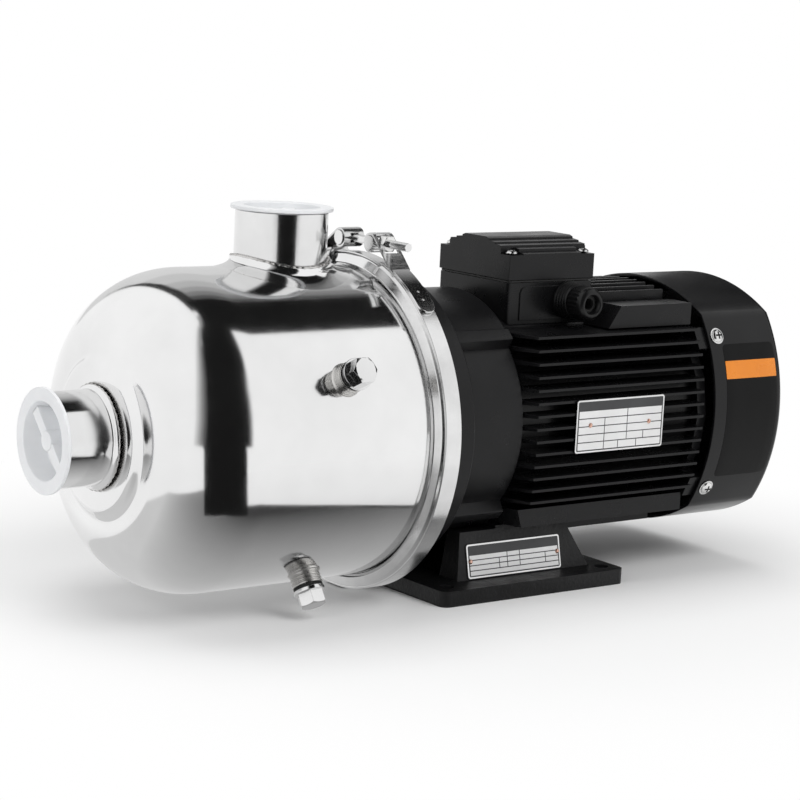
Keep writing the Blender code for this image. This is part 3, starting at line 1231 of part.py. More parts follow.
def make_cover_screws():
    profile = screw_profile(COVER_SCREW_LENGTH, COVER_SCREW_RADIUS, COVER_SCREW_HEAD_RADIUS,
                            COVER_SCREW_HEAD_HEIGHT)
    for index, (side, level) in enumerate(screw_places()):
        turned("cover_screw_%d" % (index + 1), SATIN_STEEL, profile, screw_frame(side, level) @ upright(0, 0, SEAT_GAP),
               SCREW_ROUND)


def make_fan():
    bore = SHAFT_FAN_RADIUS + SEAT_GAP
    disc = FAN_DISC_THICKNESS
    outer = [(0.0, FAN_RADIUS), (disc, FAN_RADIUS), (disc, FAN_HUB_RADIUS), (FAN_LENGTH, FAN_HUB_RADIUS)]
    fan = turned("fan", BLACK_PLASTIC, hollow(outer, [(0.0, bore), (FAN_LENGTH, bore)]), along_x(FAN_X), SMALL_ROUND)
    half = FAN_BLADE_THICKNESS / 2
    blade = rectangle((FAN_HUB_RADIUS + bore) / 2, FAN_RADIUS - FAN_BLADE_THICKNESS, -half, half)
    join(fan, prism("fan_blades", None, [turned_about(blade, turn) for turn in spread(FAN_BLADE_COUNT)],
                    disc / 2, FAN_LENGTH - disc, along_x(FAN_X)))
    return fan


# Terminal box

def lid_screw_places():
    x = BOX_LENGTH / 2 - LID_SCREW_INSET
    y = BOX_HALF_WIDTH - LID_SCREW_INSET
    return [(side_x * x, side_y * y) for side_x in (-1, 1) for side_y in (-1, 1)]


def box_hollow(name, wall, bottom, top):
    """Inside of the box, keeping clear of the four screw columns."""
    x = BOX_LENGTH / 2
    y = BOX_HALF_WIDTH
    width = LID_SCREW_INSET * 2
    place = upright(BOX_MIDDLE_X)
    inside = prism(name, None, [rectangle(wall - x, x - wall, wall - y, y - wall)], bottom, top, place)
    columns = [rectangle(-x, width - x, -y, width - y), rectangle(x - width, x, -y, width - y),
               rectangle(-x, width - x, y - width, y), rectangle(x - width, x, y - width, y)]
    return cut(inside, prism(name + "_columns", None, columns, bottom - CUT_OVERRUN, top + CUT_OVERRUN, place))


def screw_holes(name, bottom, top):
    circles = [circle(LID_SCREW_RADIUS + SEAT_GAP, SCREW_ROUND, place) for place in lid_screw_places()]
    return prism(name, None, circles, bottom, top, upright(BOX_MIDDLE_X))


def make_box():
    """Terminal box base: its underside follows the frame, with a raised panel that takes the gland."""
    outline = rounded_rectangle(BOX_LENGTH / 2, BOX_HALF_WIDTH, BOX_CORNER_ROUND, BOX_CORNER_SIDES)
    place = upright(BOX_MIDDLE_X)
    base = prism("terminal_box_base", BLACK_PAINT, [outline], BOX_SKIRT_BOTTOM, BOX_SPLIT, place)
    low = BOX_SKIRT_BOTTOM + BOX_WALL
    left = BOX_FRONT_X + PANEL_OFFSET_X
    right = left + PANEL_LENGTH
    round_off = PANEL_CORNER_ROUND
    panel = [(left, low), (right, low)]
    panel += arc((right - round_off, PANEL_TOP - round_off), round_off, 0, QUARTER_TURN, 2)
    panel += arc((left + round_off, PANEL_TOP - round_off), round_off, QUARTER_TURN, math.pi, 2)
    join(base, prism("gland_panel", None, [panel], BOX_HALF_WIDTH - BOX_WALL / 2, BOX_HALF_WIDTH + PANEL_RISE,
                     towards_near(0, 0, 0)))
    cut(base, cylinder("box_saddle", None, BOX_UNDERSIDE_RADIUS, 0.0, FRAME_REAR_X, along_x(), LARGE_ROUND))
    inside = box_hollow("box_hollow", BOX_WALL, BOX_SKIRT_BOTTOM, BOX_SPLIT + CUT_OVERRUN)
    cut(inside, cylinder("box_floor", None, BOX_FLOOR_RADIUS, 0.0, FRAME_REAR_X, along_x(), LARGE_ROUND))
    cut(base, inside)
    cut(base, screw_holes("base_screw_holes", BOX_SPLIT - LID_SCREW_LENGTH / 2, BOX_SPLIT + CUT_OVERRUN))
    cut(base, cylinder("gland_hole", None, GLAND_SPIGOT_RADIUS + SEAT_GAP, -CUT_OVERRUN, CUT_OVERRUN,
                       towards_near(GLAND_X, -BOX_HALF_WIDTH, GLAND_HEIGHT), SMALL_ROUND))
    cut(base, cylinder("box_wire_hole", None, WIRE_HOLE_RADIUS, FRAME_BORE_RADIUS, BOX_SPLIT, upright(WIRE_HOLE_X),
                       SCREW_ROUND))
    bottom = BOX_SPLIT + SEAT_GAP
    edge = rounded_rectangle(BOX_LENGTH / 2 - SEAT_GAP, BOX_HALF_WIDTH - SEAT_GAP, BOX_CORNER_ROUND, BOX_CORNER_SIDES)
    gasket = prism("terminal_box_gasket", BLACK_RUBBER, [edge], bottom, bottom + GASKET_THICKNESS, place)
    cut(gasket, box_hollow("gasket_hollow", BOX_WALL, BOX_SPLIT - CUT_OVERRUN, BOX_SPLIT + CUT_OVERRUN))
    cut(gasket, screw_holes("gasket_screw_holes", BOX_SPLIT - CUT_OVERRUN, BOX_SPLIT + CUT_OVERRUN))
    return base


def lid_outline():
    """End view of the lid: upright edges, four steps up each side and a flat crown."""
    rise = LID_TOP - LID_SHOULDER
    right = [(BOX_HALF_WIDTH, LID_BOTTOM), (BOX_HALF_WIDTH, LID_SHOULDER)]
    for across_share, low_share, high_share in LID_STEP_SHARES:
        right.append((BOX_HALF_WIDTH * across_share, LID_SHOULDER + rise * low_share))
        right.append((BOX_HALF_WIDTH * across_share, LID_SHOULDER + rise * high_share))
    right.append((BOX_HALF_WIDTH * LID_CROWN_SHARE, LID_TOP))
    return right + [(-across, up) for across, up in reversed(right)]


def make_lid():
    """Terminal box lid with a stepped crown and a screw pocket at each corner."""
    lid = prism("terminal_box_lid", BLACK_PAINT, [lid_outline()], BOX_FRONT_X, BOX_REAR_X, along_x())
    place = upright(BOX_MIDDLE_X)
    cut(lid, box_hollow("lid_hollow", LID_WALL, LID_BOTTOM - CUT_OVERRUN, LID_POCKET_FLOOR - LID_WALL))
    outer_x = BOX_LENGTH / 2
    outer_y = BOX_HALF_WIDTH
    pockets = []
    for side_x in (-1, 1):
        for side_y in (-1, 1):
            reach_x = sorted((side_x * (outer_x - LID_POCKET_LENGTH), side_x * (outer_x + CUT_OVERRUN)))
            reach_y = sorted((side_y * (outer_y - LID_POCKET_WIDTH), side_y * (outer_y + CUT_OVERRUN)))
            pockets.append(rectangle(*reach_x, *reach_y))
    cut(lid, prism("lid_pockets", None, pockets, LID_POCKET_FLOOR, LID_TOP + CUT_OVERRUN, place))
    cut(lid, screw_holes("lid_screw_holes", LID_BOTTOM - CUT_OVERRUN, LID_TOP))
    profile = screw_profile(LID_SCREW_LENGTH, LID_SCREW_RADIUS, LID_SCREW_HEAD_RADIUS, LID_SCREW_HEAD_HEIGHT)
    for index, (x, y) in enumerate(lid_screw_places()):
        turned("lid_screw_%d" % (index + 1), SATIN_STEEL, profile,
               upright(BOX_MIDDLE_X + x, y, LID_POCKET_FLOOR + SEAT_GAP), SCREW_ROUND)
    return lid


def make_terminal_board():
    bottom = BOX_FLOOR_RADIUS + SEAT_GAP
    top = bottom + TERMINAL_BOARD_THICKNESS
    length = TERMINAL_BOARD_LENGTH
    width = TERMINAL_BOARD_WIDTH
    place = upright(TERMINAL_BOARD_X)
    board = block("terminal_board", BLACK_PLASTIC, (-length / 2, -width / 2, bottom), (length / 2, width / 2, top),
                  place)
    studs = []
    for column in range(TERMINAL_STUD_COLUMNS):
        for row in range(TERMINAL_STUD_ROWS):
            x = length * ((column + 0.5) / TERMINAL_STUD_COLUMNS - 0.5)
            y = width * ((row + 0.5) / TERMINAL_STUD_ROWS - 0.5)
            studs.append(circle(TERMINAL_STUD_RADIUS, SCREW_ROUND, (x, y)))
    join(board, prism("terminal_studs", None, studs, bottom + TERMINAL_BOARD_THICKNESS / 2,
                      top + TERMINAL_STUD_HEIGHT, place))
    return board


def make_gland():
    frame = towards_near(GLAND_X, -BOX_HALF_WIDTH - PANEL_RISE - SEAT_GAP, GLAND_HEIGHT)
    seal_seat = GLAND_SEAL_RADIUS + SEAT_GAP
    spigot = -BOX_WALL
    body_end = GLAND_BODY_LENGTH
    neck_end = body_end + GLAND_NECK_LENGTH
    outer = [(spigot, GLAND_SPIGOT_RADIUS), (0.0, GLAND_SPIGOT_RADIUS), (0.0, GLAND_BODY_RADIUS),
             (body_end, GLAND_BODY_RADIUS - SEAT_GAP * 2), (body_end, GLAND_NECK_RADIUS), (neck_end, GLAND_NECK_RADIUS)]
    inner = [(spigot, GLAND_BORE_RADIUS), (body_end, GLAND_BORE_RADIUS), (body_end, seal_seat), (neck_end, seal_seat)]
    turned("gland_body", BLACK_PLASTIC, hollow(outer, inner), frame, SMALL_ROUND)
    turned("gland_seal", BLACK_RUBBER,
           sleeve(body_end + SEAT_GAP, neck_end + SEAT_GAP, GLAND_SEAL_RADIUS, GLAND_SEAL_BORE_RADIUS), frame,
           SMALL_ROUND)
    nut_start = body_end + SEAT_GAP
    nut_end = nut_start + GLAND_NUT_LENGTH
    nut_bore = GLAND_NECK_RADIUS + SEAT_GAP
    throat = neck_end + SEAT_GAP * 2
    dome = nut_end - GLAND_DOME_LENGTH
    outer = [(nut_start, GLAND_NUT_RADIUS), (dome, GLAND_NUT_RADIUS), (nut_end, GLAND_FACE_RADIUS)]
    inner = [(nut_start, nut_bore), (throat, nut_bore), (throat, GLAND_BORE_RADIUS), (nut_end, GLAND_BORE_RADIUS)]
    turned("gland_nut", BLACK_PLASTIC, hollow(outer, inner), frame, SMALL_ROUND)


# Foot

def make_foot():
    """Cast foot: a plate with four holes and two leaning cheeks that carry the motor's lower pads."""
    outline = rounded_rectangle(FOOT_LENGTH / 2, FOOT_WIDTH / 2, FOOT_CORNER_ROUND, FOOT_CORNER_SIDES)
    x = FOOT_LENGTH / 2 - FOOT_HOLE_INSET_X
    y = FOOT_WIDTH / 2 - FOOT_HOLE_INSET_Y
    holes = [circle(FOOT_HOLE_RADIUS, SMALL_ROUND, (side_x * x, side_y * y)) for side_x in (-1, 1) for side_y in (-1, 1)]
    foot = prism("foot", CAST_BLACK, [outline] + holes, FOOT_BOTTOM, FOOT_TOP, upright(FOOT_CENTRE_X))
    sunk = FOOT_TOP - FOOT_THICKNESS / 2
    inner = CHEEK_OUTER_TOP - CHEEK_THICKNESS
    lean = (CHEEK_OUTER_BOTTOM - CHEEK_OUTER_TOP) / (CHEEK_TOP - FOOT_TOP)
    outer = CHEEK_OUTER_BOTTOM + lean * (FOOT_TOP - sunk)
    section = [(inner, sunk), (outer, sunk), (CHEEK_OUTER_TOP, CHEEK_TOP), (inner, CHEEK_TOP)]
    ends = [(CHEEK_FRONT_BOTTOM_X, sunk - CUT_OVERRUN), (CHEEK_REAR_BOTTOM_X, sunk - CUT_OVERRUN),
            (CHEEK_REAR_BOTTOM_X, FOOT_TOP), (CHEEK_REAR_TOP_X, CHEEK_TOP),
            (CHEEK_REAR_TOP_X, CHEEK_TOP + CUT_OVERRUN), (CHEEK_FRONT_TOP_X, CHEEK_TOP + CUT_OVERRUN),
            (CHEEK_FRONT_TOP_X, CHEEK_TOP), (CHEEK_FRONT_BOTTOM_X, FOOT_TOP)]
    step = CHEEK_TOP - CHEEK_STEP
    sections = [section, [(-across, up) for across, up in reversed(section)]]
    cheeks = prism("foot_cheeks", None, sections, CHEEK_FRONT_BOTTOM_X - CUT_OVERRUN,
                   CHEEK_REAR_BOTTOM_X + CUT_OVERRUN, along_x())
    combine(cheeks, "INTERSECT", prism("foot_cheek_ends", None, [ends], -FOOT_WIDTH / 2, FOOT_WIDTH / 2,
                                       towards_near(0, 0, 0)))
    cut(cheeks, block("foot_lantern_step", None, (0.0, -FOOT_WIDTH / 2, step),
                      (FRAME_FRONT_X, FOOT_WIDTH / 2, CHEEK_TOP + CUT_OVERRUN)))
    relief = turned("foot_lantern_relief", None, full(lantern_envelope(LANTERN_SADDLE_RADIUS, RUNNING_GAP)), along_x(), LARGE_ROUND)
    cut(cheeks, relief)
    join(foot, cheeks)
    half = FOOT_WEB_THICKNESS / 2
    reach = inner + CHEEK_THICKNESS / 2
    join(foot, block("foot_web", None, (FOOT_WEB_X - half, -reach, sunk),
                     (FOOT_WEB_X + half, reach, FOOT_TOP + FOOT_WEB_HEIGHT)))
    return foot


def make_plates():
    """Blank rating plates on the motor's side fins and on the foot's near cheek."""
    face = -(FRAME_SIDE_HALF_WIDTH + SEAT_GAP)
    half = MOTOR_PLATE_LENGTH / 2
    block("motor_rating_plate", PLATE_METAL, (-half, face - PLATE_THICKNESS, -MOTOR_PLATE_HEIGHT / 2),
          (half, face, MOTOR_PLATE_HEIGHT / 2), upright(MOTOR_PLATE_CENTRE_X))
    lean = math.atan2(CHEEK_OUTER_BOTTOM - CHEEK_OUTER_TOP, CHEEK_TOP - FOOT_TOP)
    normal = Vector((0, -math.cos(lean), math.sin(lean)))
    uphill = Vector((0, math.sin(lean), math.cos(lean)))
    foot_line = Vector((PUMP_PLATE_CENTRE_X, -CHEEK_OUTER_BOTTOM, FOOT_TOP))
    origin = foot_line + uphill * (PUMP_PLATE_HEIGHT / 2 + PLATE_THICKNESS) + normal * SEAT_GAP
    half = PUMP_PLATE_LENGTH / 2
    block("pump_rating_plate", PLATE_METAL, (-half, -PUMP_PLATE_HEIGHT / 2, 0.0),
          (half, PUMP_PLATE_HEIGHT / 2, PLATE_THICKNESS), frame_towards(origin, normal, X_AXIS))


make_casing()
make_nozzles()
make_cap("inlet_cap", frame_towards((INLET_END_X - SEAT_GAP, 0, 0), -X_AXIS, Y_AXIS), -EIGHTH_TURN)
make_cap("outlet_cap", upright(OUTLET_X, 0, OUTLET_NOZZLE_TOP + SEAT_GAP), EIGHTH_TURN)
make_plug("priming", PRIMING_ANGLE)
make_plug("drain", DRAIN_ANGLE)
make_clamp_band()
make_strap("clamp_strap_near", CLAMP_TRUNNION_NEAR, CLAMP_TONGUE_START_NEAR, CLAMP_TONGUE_END_NEAR, -1,
           CLAMP_NUT_RADIUS + SEAT_GAP, CLAMP_LOOP_RADIUS + CLAMP_STRAP_SHEET + CUT_OVERRUN)
make_strap("clamp_strap_far", CLAMP_TRUNNION_FAR, CLAMP_TONGUE_START_FAR, CLAMP_TONGUE_END_FAR, 1,
           CLAMP_BOLT_RADIUS + SEAT_GAP, 0.0)
make_clamp_fasteners()
make_seal_plate()
make_stages()
make_shaft_seal()
make_shaft()
make_bearing("front_bearing", FRONT_BEARING_X, SHAFT_FRONT_BEARING_RADIUS)
make_bearing("rear_bearing", REAR_BEARING_X, SHAFT_REAR_BEARING_RADIUS)
make_lantern()
make_frame()
make_stator()
make_rotor()
make_rear_shield()
make_fan()
make_cover()
make_cover_screws()
make_box()
make_lid()
make_terminal_board()
make_gland()
make_foot()
make_plates()
bpy.context.view_layer.update()
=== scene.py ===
"""Looks for the centrifugal pump: studio, camera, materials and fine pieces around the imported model."""

import json
import math

import bmesh
import bpy
from mathutils import Matrix, Vector


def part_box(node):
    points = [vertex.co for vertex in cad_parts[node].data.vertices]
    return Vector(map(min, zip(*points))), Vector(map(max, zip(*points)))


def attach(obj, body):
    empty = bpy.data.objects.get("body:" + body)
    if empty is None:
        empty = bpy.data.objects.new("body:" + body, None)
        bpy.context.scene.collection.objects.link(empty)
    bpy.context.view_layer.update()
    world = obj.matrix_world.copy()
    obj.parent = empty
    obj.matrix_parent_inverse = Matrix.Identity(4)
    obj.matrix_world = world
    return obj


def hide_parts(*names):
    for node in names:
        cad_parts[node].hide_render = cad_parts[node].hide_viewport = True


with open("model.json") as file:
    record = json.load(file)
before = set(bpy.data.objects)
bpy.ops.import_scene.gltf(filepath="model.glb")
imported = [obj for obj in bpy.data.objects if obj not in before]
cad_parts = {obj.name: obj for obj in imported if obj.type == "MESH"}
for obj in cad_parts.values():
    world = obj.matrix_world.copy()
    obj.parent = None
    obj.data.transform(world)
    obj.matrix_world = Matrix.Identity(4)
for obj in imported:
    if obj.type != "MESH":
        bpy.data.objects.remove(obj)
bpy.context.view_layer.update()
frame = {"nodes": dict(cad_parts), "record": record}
nodes = frame["nodes"]

MM = 0.001
NEARLY_ZERO = 1e-6
FULL_TURN = 2 * math.pi
QUARTER_TURN = math.pi / 2
EIGHTH_TURN = math.pi / 4
X_AXIS = Vector((1, 0, 0))
Y_AXIS = Vector((0, 1, 0))
Z_AXIS = Vector((0, 0, 1))

# Places read from the frame: the shaft's height, and the plane where casing and lantern meet
shaft_low, shaft_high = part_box("shaft")
band_low, band_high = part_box("clamp_band")
SHAFT_Z = (shaft_low.z + shaft_high.z) / 2
ORIGIN_X = (band_low.x + band_high.x) / 2
AXIS = Vector((ORIGIN_X, 0.0, SHAFT_Z))
PUMP_FRAME = Matrix.Translation(AXIS) @ Matrix.Scale(MM, 4)

# Sizes in millimetres that the fine pieces share with the solids
SEAT = 0.3
CASING_RADIUS = 92.0
CASING_LENGTH = 168.0
CASING_WALL = 1.9
DOME_DEPTH = 52.0
DOME_FACE_RADIUS = 50.0
STEP_RADIUS = 43.5
STEP_HEIGHT = 4.0
LIP_RADIUS = 97.5
LIP_HALF = 4.3
LIP_ROOT = 7.3
BORE = 23.5
TUBE_RADIUS = 26.7
TUBE_FOOT_RADIUS = 29.4
TUBE_FOOT_HEIGHT = 2.0
OUTLET_X = -53.7
COLLAR_REACH = 42.0
OUTLET_TOP = 123.6
OUTLET_FOOT = 87.5
INLET_FACE_X = -(CASING_LENGTH + STEP_HEIGHT)
INLET_LENGTH = 29.0
PLUG_X = -63.5
PRIMING_ANGLE = math.radians(25.0)
DRAIN_ANGLE = math.radians(-56.0)
SHEET = 2.0
STRAP_SHEET = 1.2
STRAP_HALF = 5.5
GAP_NEAR = math.radians(17.0)
GAP_FAR = math.radians(-8.5)
GAP_SLIT = math.radians(0.8)

# Fan cover: each corner lies as far across as it lies up, and the four sides bulge between them
COVER_HALF_WIDTH = 78.8
COVER_CORNER = 60.7
COVER_FALL = COVER_HALF_WIDTH - COVER_CORNER
COVER_BULGE = (COVER_FALL ** 2 + COVER_CORNER ** 2) / (2 * COVER_FALL)
COVER_SHIFT = COVER_BULGE - COVER_HALF_WIDTH


# Frames and outlines

def frame_towards(origin, direction, side):
    """Matrix whose Z runs along direction and whose X lies nearest to side, with its origin in millimetres."""
    along = direction.normalized()
    across = (side - along * along.dot(side)).normalized()
    turn = Matrix((across, along.cross(across), along)).transposed().to_4x4()
    return Matrix.Translation(AXIS + Vector(origin) * MM) @ turn @ Matrix.Scale(MM, 4)


def along_x(x=0.0, y=0.0, z=0.0):
    return frame_towards((x, y, z), X_AXIS, Y_AXIS)


def upright(x=0.0, y=0.0, z=0.0):
    return frame_towards((x, y, z), Z_AXIS, X_AXIS)


def towards_near(x, y, z):
    return frame_towards((x, y, z), -Y_AXIS, X_AXIS)


def radial(angle, distance, x):
    direction = Vector((0, -math.cos(angle), math.sin(angle)))
    return frame_towards(Vector((x, 0, 0)) + direction * distance, direction, X_AXIS)


def spread(start, end, count):
    """Evenly spaced values from just after start up to end itself."""
    return [start + (end - start) * index / count for index in range(1, count + 1)]


def arc(centre, radius, start, end, count):
    angles = [start] + spread(start, end, count)
    return [(centre[0] + radius * math.cos(angle), centre[1] + radius * math.sin(angle)) for angle in angles]


def rounded(points, radius, closed=True, steps=3):
    """Outline with its corners rounded where it turns by more than a few degrees."""
    least_turn, longest_share = math.radians(12), 0.45
    result = []
    count = len(points)
    for index in range(count):
        here = Vector(points[index])
        before = Vector(points[index - 1]) - here
        after = Vector(points[(index + 1) % count]) - here
        if (not closed and index in (0, count - 1) or min(before.length, after.length) < NEARLY_ZERO
                or math.pi - before.angle(after) < least_turn):
            result.append(tuple(here))
            continue
        start = here + before.normalized() * min(radius, before.length * longest_share)
        end = here + after.normalized() * min(radius, after.length * longest_share)
        for step in range(steps + 1):
            share = step / steps
            result.append(tuple(start * (1 - share) ** 2 + here * (2 * share * (1 - share)) + end * share ** 2))
    return result


def four_turns(points):
    """A quarter of an outline, repeated around its centre."""
    result = []
    for _ in range(4):
        result += points
        points = [(-up, across) for across, up in points]
    return result


def box_outline(half_across, half_up, corner, count=5):
    points = []
    for turn, (side, level) in enumerate(((1, 1), (-1, 1), (-1, -1), (1, -1))):
        centre = (side * (half_across - corner), level * (half_up - corner))
        points += arc(centre, corner, QUARTER_TURN * turn, QUARTER_TURN * (turn + 1), count)
    return points


# Pieces: each rides on the housing unless it names another body

def place_object(name, data):
    piece = bpy.data.objects.new(name, data)
    bpy.context.scene.collection.objects.link(piece)
    return piece


def add_object(name, mesh, material, replaces=(), body="housing"):
    piece = place_object(name, mesh)
    piece.data.materials.clear()
    piece.data.materials.append(material)
    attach(piece, body)
    if replaces:
        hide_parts(*replaces)
    return piece


def finished_mesh(name, shape):
    mesh = bpy.data.meshes.new(name)
    shape.to_mesh(mesh)
    shape.free()
    mesh.shade_smooth()
    return mesh


def mesh_from(name, shape, matrix=PUMP_FRAME):
    bmesh.ops.remove_doubles(shape, verts=shape.verts, dist=1e-5)
    bmesh.ops.recalc_face_normals(shape, faces=shape.faces)
    bmesh.ops.transform(shape, matrix=matrix, verts=shape.verts)
    return finished_mesh(name, shape)


def join_lines(shape, low, high, closed=True):
    """Faces between two lines of points."""
    count = len(low)
    for index in range(count if closed else count - 1):
        following = (index + 1) % count
        shape.faces.new((low[index], low[following], high[following], high[index]))


def close_sheets(shape, sheets):
    """Faces of two grids of points that lie one over the other, and the edge between them."""
    rows = len(sheets[0])
    borders = []
    for grid in sheets:
        for low, high in zip(grid, grid[1:]):
            join_lines(shape, low, high, False)
        borders.append([grid[row][0] for row in range(rows)] + grid[-1][1:]
                       + [grid[row][-1] for row in range(rows - 2, -1, -1)] + grid[0][-2:0:-1])
    join_lines(shape, *borders)


def weight_normals(piece):
    weighting = piece.modifiers.new("normals", "WEIGHTED_NORMAL")
    weighting.weight = 60
    weighting.keep_sharp = True


def turned_mesh(name, profile, matrix, sides=96, start=0.0, sweep=FULL_TURN, ripple=None):
    """Turn a closed (height, radius) profile; ripple(height, radius, angle) may shift the radius."""
    shape = bmesh.new()
    full = abs(sweep - FULL_TURN) < NEARLY_ZERO
    columns = sides if full else sides + 1
    grid = []
    for column in range(columns):
        angle = start + sweep * column / sides
        line = []
        for height, radius in profile:
            if ripple:
                radius += ripple(height, radius, angle)
            line.append(shape.verts.new((radius * math.cos(angle), radius * math.sin(angle), height)))
        grid.append(line)
    rows = len(profile)
    for column in range(columns if full else columns - 1):
        left = grid[column]
        right = grid[(column + 1) % columns]
        for row in range(rows):
            following = (row + 1) % rows
            here_on_axis, next_on_axis = profile[row][1] < NEARLY_ZERO, profile[following][1] < NEARLY_ZERO
            if here_on_axis and next_on_axis:
                continue
            corners = [left[row], right[row], right[following], left[following]]
            if here_on_axis:
                corners.pop(1)
            elif next_on_axis:
                corners.pop(2)
            shape.faces.new(corners)
    if not full:
        shape.faces.new(grid[0])
        shape.faces.new(list(reversed(grid[-1])))
    return mesh_from(name, shape, matrix)


def turned(name, profile, matrix, slot, material, replaces=(), body="housing", **more):
    piece = add_object(name, turned_mesh(name, profile, matrix, **more), material, replaces, body)
    weight_normals(piece)


def soften_edges(piece, width, steps=2, angle=32.0):
    """Small bevels along the true edges, with flat faces kept flat."""
    bevel = piece.modifiers.new("edges", "BEVEL")
    bevel.width = width * MM
    bevel.segments = steps
    bevel.limit_method = "ANGLE"
    bevel.angle_limit = math.radians(angle)
    bevel.harden_normals = False
    bevel.use_clamp_overlap = True
    weight_normals(piece)


def drawn(name, outline, bottom, top, matrix, slot, material, replaces=(), body="housing", edge=0.4):
    """Flat outline drawn out from bottom to top."""
    shape = bmesh.new()
    low, high = ([shape.verts.new((across, up, height)) for across, up in outline] for height in (bottom, top))
    shape.faces.new(low)
    shape.faces.new(list(reversed(high)))
    join_lines(shape, low, high)
    soften_edges(add_object(name, mesh_from(name, shape, matrix), material, replaces, body), edge)


def softened_copy(node, slot, width, steps=2, angle=32.0, material=None, body="housing"):
    """A node's own shape with its edges softened and its curved faces smooth."""
    name = node + "_fine"
    shape = bmesh.new()
    shape.from_mesh(nodes[node].data)
    bmesh.ops.remove_doubles(shape, verts=shape.verts, dist=2e-6)
    bmesh.ops.dissolve_degenerate(shape, dist=1e-6, edges=shape.edges)
    bmesh.ops.dissolve_limit(shape, angle_limit=math.radians(0.3), verts=shape.verts, edges=shape.edges)
    piece = add_object(name, finished_mesh(name, shape), material or NODE_LOOKS[slot], (node,), body)
    soften_edges(piece, width, steps, angle)


# Materials

WHITE = (1, 1, 1, 1)


def feed(node, inputs):
    """Give inputs of a node their values, or the sockets that they take them from."""
    for key, value in inputs.items():
        if isinstance(value, bpy.types.NodeSocket):
            node.id_data.links.new(value, node.inputs[key])
        else:
            node.inputs[key].default_value = value


def add_node(tree, kind, inputs=None, **settings):
    node = tree.nodes.new(kind)
    for key, value in settings.items():
        setattr(node, key, value)
    feed(node, inputs or {})
    return node


def colour(value):
    """Opaque colour from a grey level, or from red, green and blue."""
    return (*value, 1) if isinstance(value, tuple) else (value, value, value, 1)


class Look:
    """Small helper around one material's node tree."""

    def __init__(self, name):
        self.material = bpy.data.materials.new(name)
        self.material.use_nodes = True
        self.tree = self.material.node_tree
        self.surface = self.tree.nodes["Principled BSDF"]
        self.place = add_node(self.tree, "ShaderNodeTexCoord").outputs["Object"]

    def noise(self, scale, detail, roughness, stretch=None):
        place = self.place
        if stretch:
            place = add_node(self.tree, "ShaderNodeMapping", {"Scale": stretch, "Vector": place}).outputs["Vector"]
        inputs = {"Scale": scale, "Detail": detail, "Roughness": roughness, "Vector": place}
        return add_node(self.tree, "ShaderNodeTexNoise", inputs).outputs["Fac"]

    def ramp(self, source, *stops):
        node = add_node(self.tree, "ShaderNodeValToRGB", {"Fac": source})
        for element, (place, shade) in zip(node.color_ramp.elements, stops):
            element.position = place
            element.color = colour(shade)
        return node.outputs["Color"]

    def span(self, source, low, high):
        """The middle of a noise's range drawn out from low to high."""
        inputs = {"From Min": 0.3, "From Max": 0.7, "To Min": low, "To Max": high, "Value": source}
        return add_node(self.tree, "ShaderNodeMapRange", inputs).outputs["Result"]

    def bump(self, source, strength, distance):
        node = add_node(self.tree, "ShaderNodeBump", {"Strength": strength, "Distance": distance, "Height": source})
        feed(self.surface, {"Normal": node.outputs["Normal"]})


def metal(name, dark, light, rough, grain_scale, bump, bump_scale, stretch=None):
    """Bare metal: clouded colour, uneven gloss and a fine surface grain."""
    look = Look(name)
    cloud = look.noise(grain_scale, 4.0, 0.55)
    wear = look.noise(grain_scale * 3, 5.0, 0.6, stretch)
    feed(look.surface, {"Metallic": 1.0, "Base Color": look.ramp(cloud, (0.35, dark), (0.65, light)),
                        "Roughness": look.span(wear, *rough)})
    look.bump(look.noise(bump_scale, 2.0, 0.5, stretch), bump, 0.0002)
    return look.material


def paint(name, dark, light, rough, grain, grain_scale, specular=0.5):
    """Painted or moulded surface: slight mottling, uneven gloss and a fine pebbled grain."""
    look = Look(name)
    mottle = look.noise(35.0, 4.0, 0.6)
    feed(look.surface, {"Specular IOR Level": specular, "Base Color": look.ramp(mottle, (0.3, dark), (0.7, light)),
                        "Roughness": look.span(look.noise(60.0, 5.0, 0.6), *rough)})
    look.bump(look.noise(grain_scale, 3.0, 0.55), grain, 0.0004)
    return look.material


POLISHED = metal("polished_stainless", 0.80, 0.87, (0.085, 0.13), 14.0, 0.006, 260.0)
TUBE_STEEL = metal("drawn_tube", 0.74, 0.84, (0.10, 0.17), 20.0, 0.02, 600.0)
BAND_STEEL = metal("brushed_band", 0.66, 0.80, (0.16, 0.26), 30.0, 0.06, 500.0, (1.0, 1.0, 6.0))
SATIN = metal("machined_steel", (0.50, 0.49, 0.48), (0.66, 0.65, 0.63), (0.20, 0.34), 60.0, 0.10, 900.0)
SCREW = metal("plated_screw", 0.62, (0.80, 0.80, 0.79), (0.14, 0.26), 80.0, 0.08, 1200.0)
WELD = metal("weld_bead", (0.42, 0.41, 0.40), (0.72, 0.71, 0.70), (0.18, 0.34), 120.0, 0.35, 700.0)
CORE = metal("laminated_steel", (0.26, 0.26, 0.27), (0.40, 0.40, 0.41), (0.35, 0.50), 40.0, 0.20, 60.0,
             (160.0, 1.0, 1.0))
WINDING = metal("copper_winding", (0.50, 0.20, 0.09), (0.74, 0.34, 0.17), (0.25, 0.42), 90.0, 0.30, 500.0)
ROTOR_METAL = metal("rotor_metal", (0.48, 0.49, 0.50), (0.62, 0.63, 0.64), (0.30, 0.45), 50.0, 0.20, 60.0,
                    (120.0, 1.0, 1.0))
RIVET = metal("rivet", (0.62, 0.36, 0.28), (0.78, 0.50, 0.40), (0.22, 0.34), 300.0, 0.10, 1500.0)
PLATE_RIM = metal("plate_metal", 0.74, 0.86, (0.25, 0.36), 60.0, 0.08, 300.0, (1.0, 1.0, 40.0))

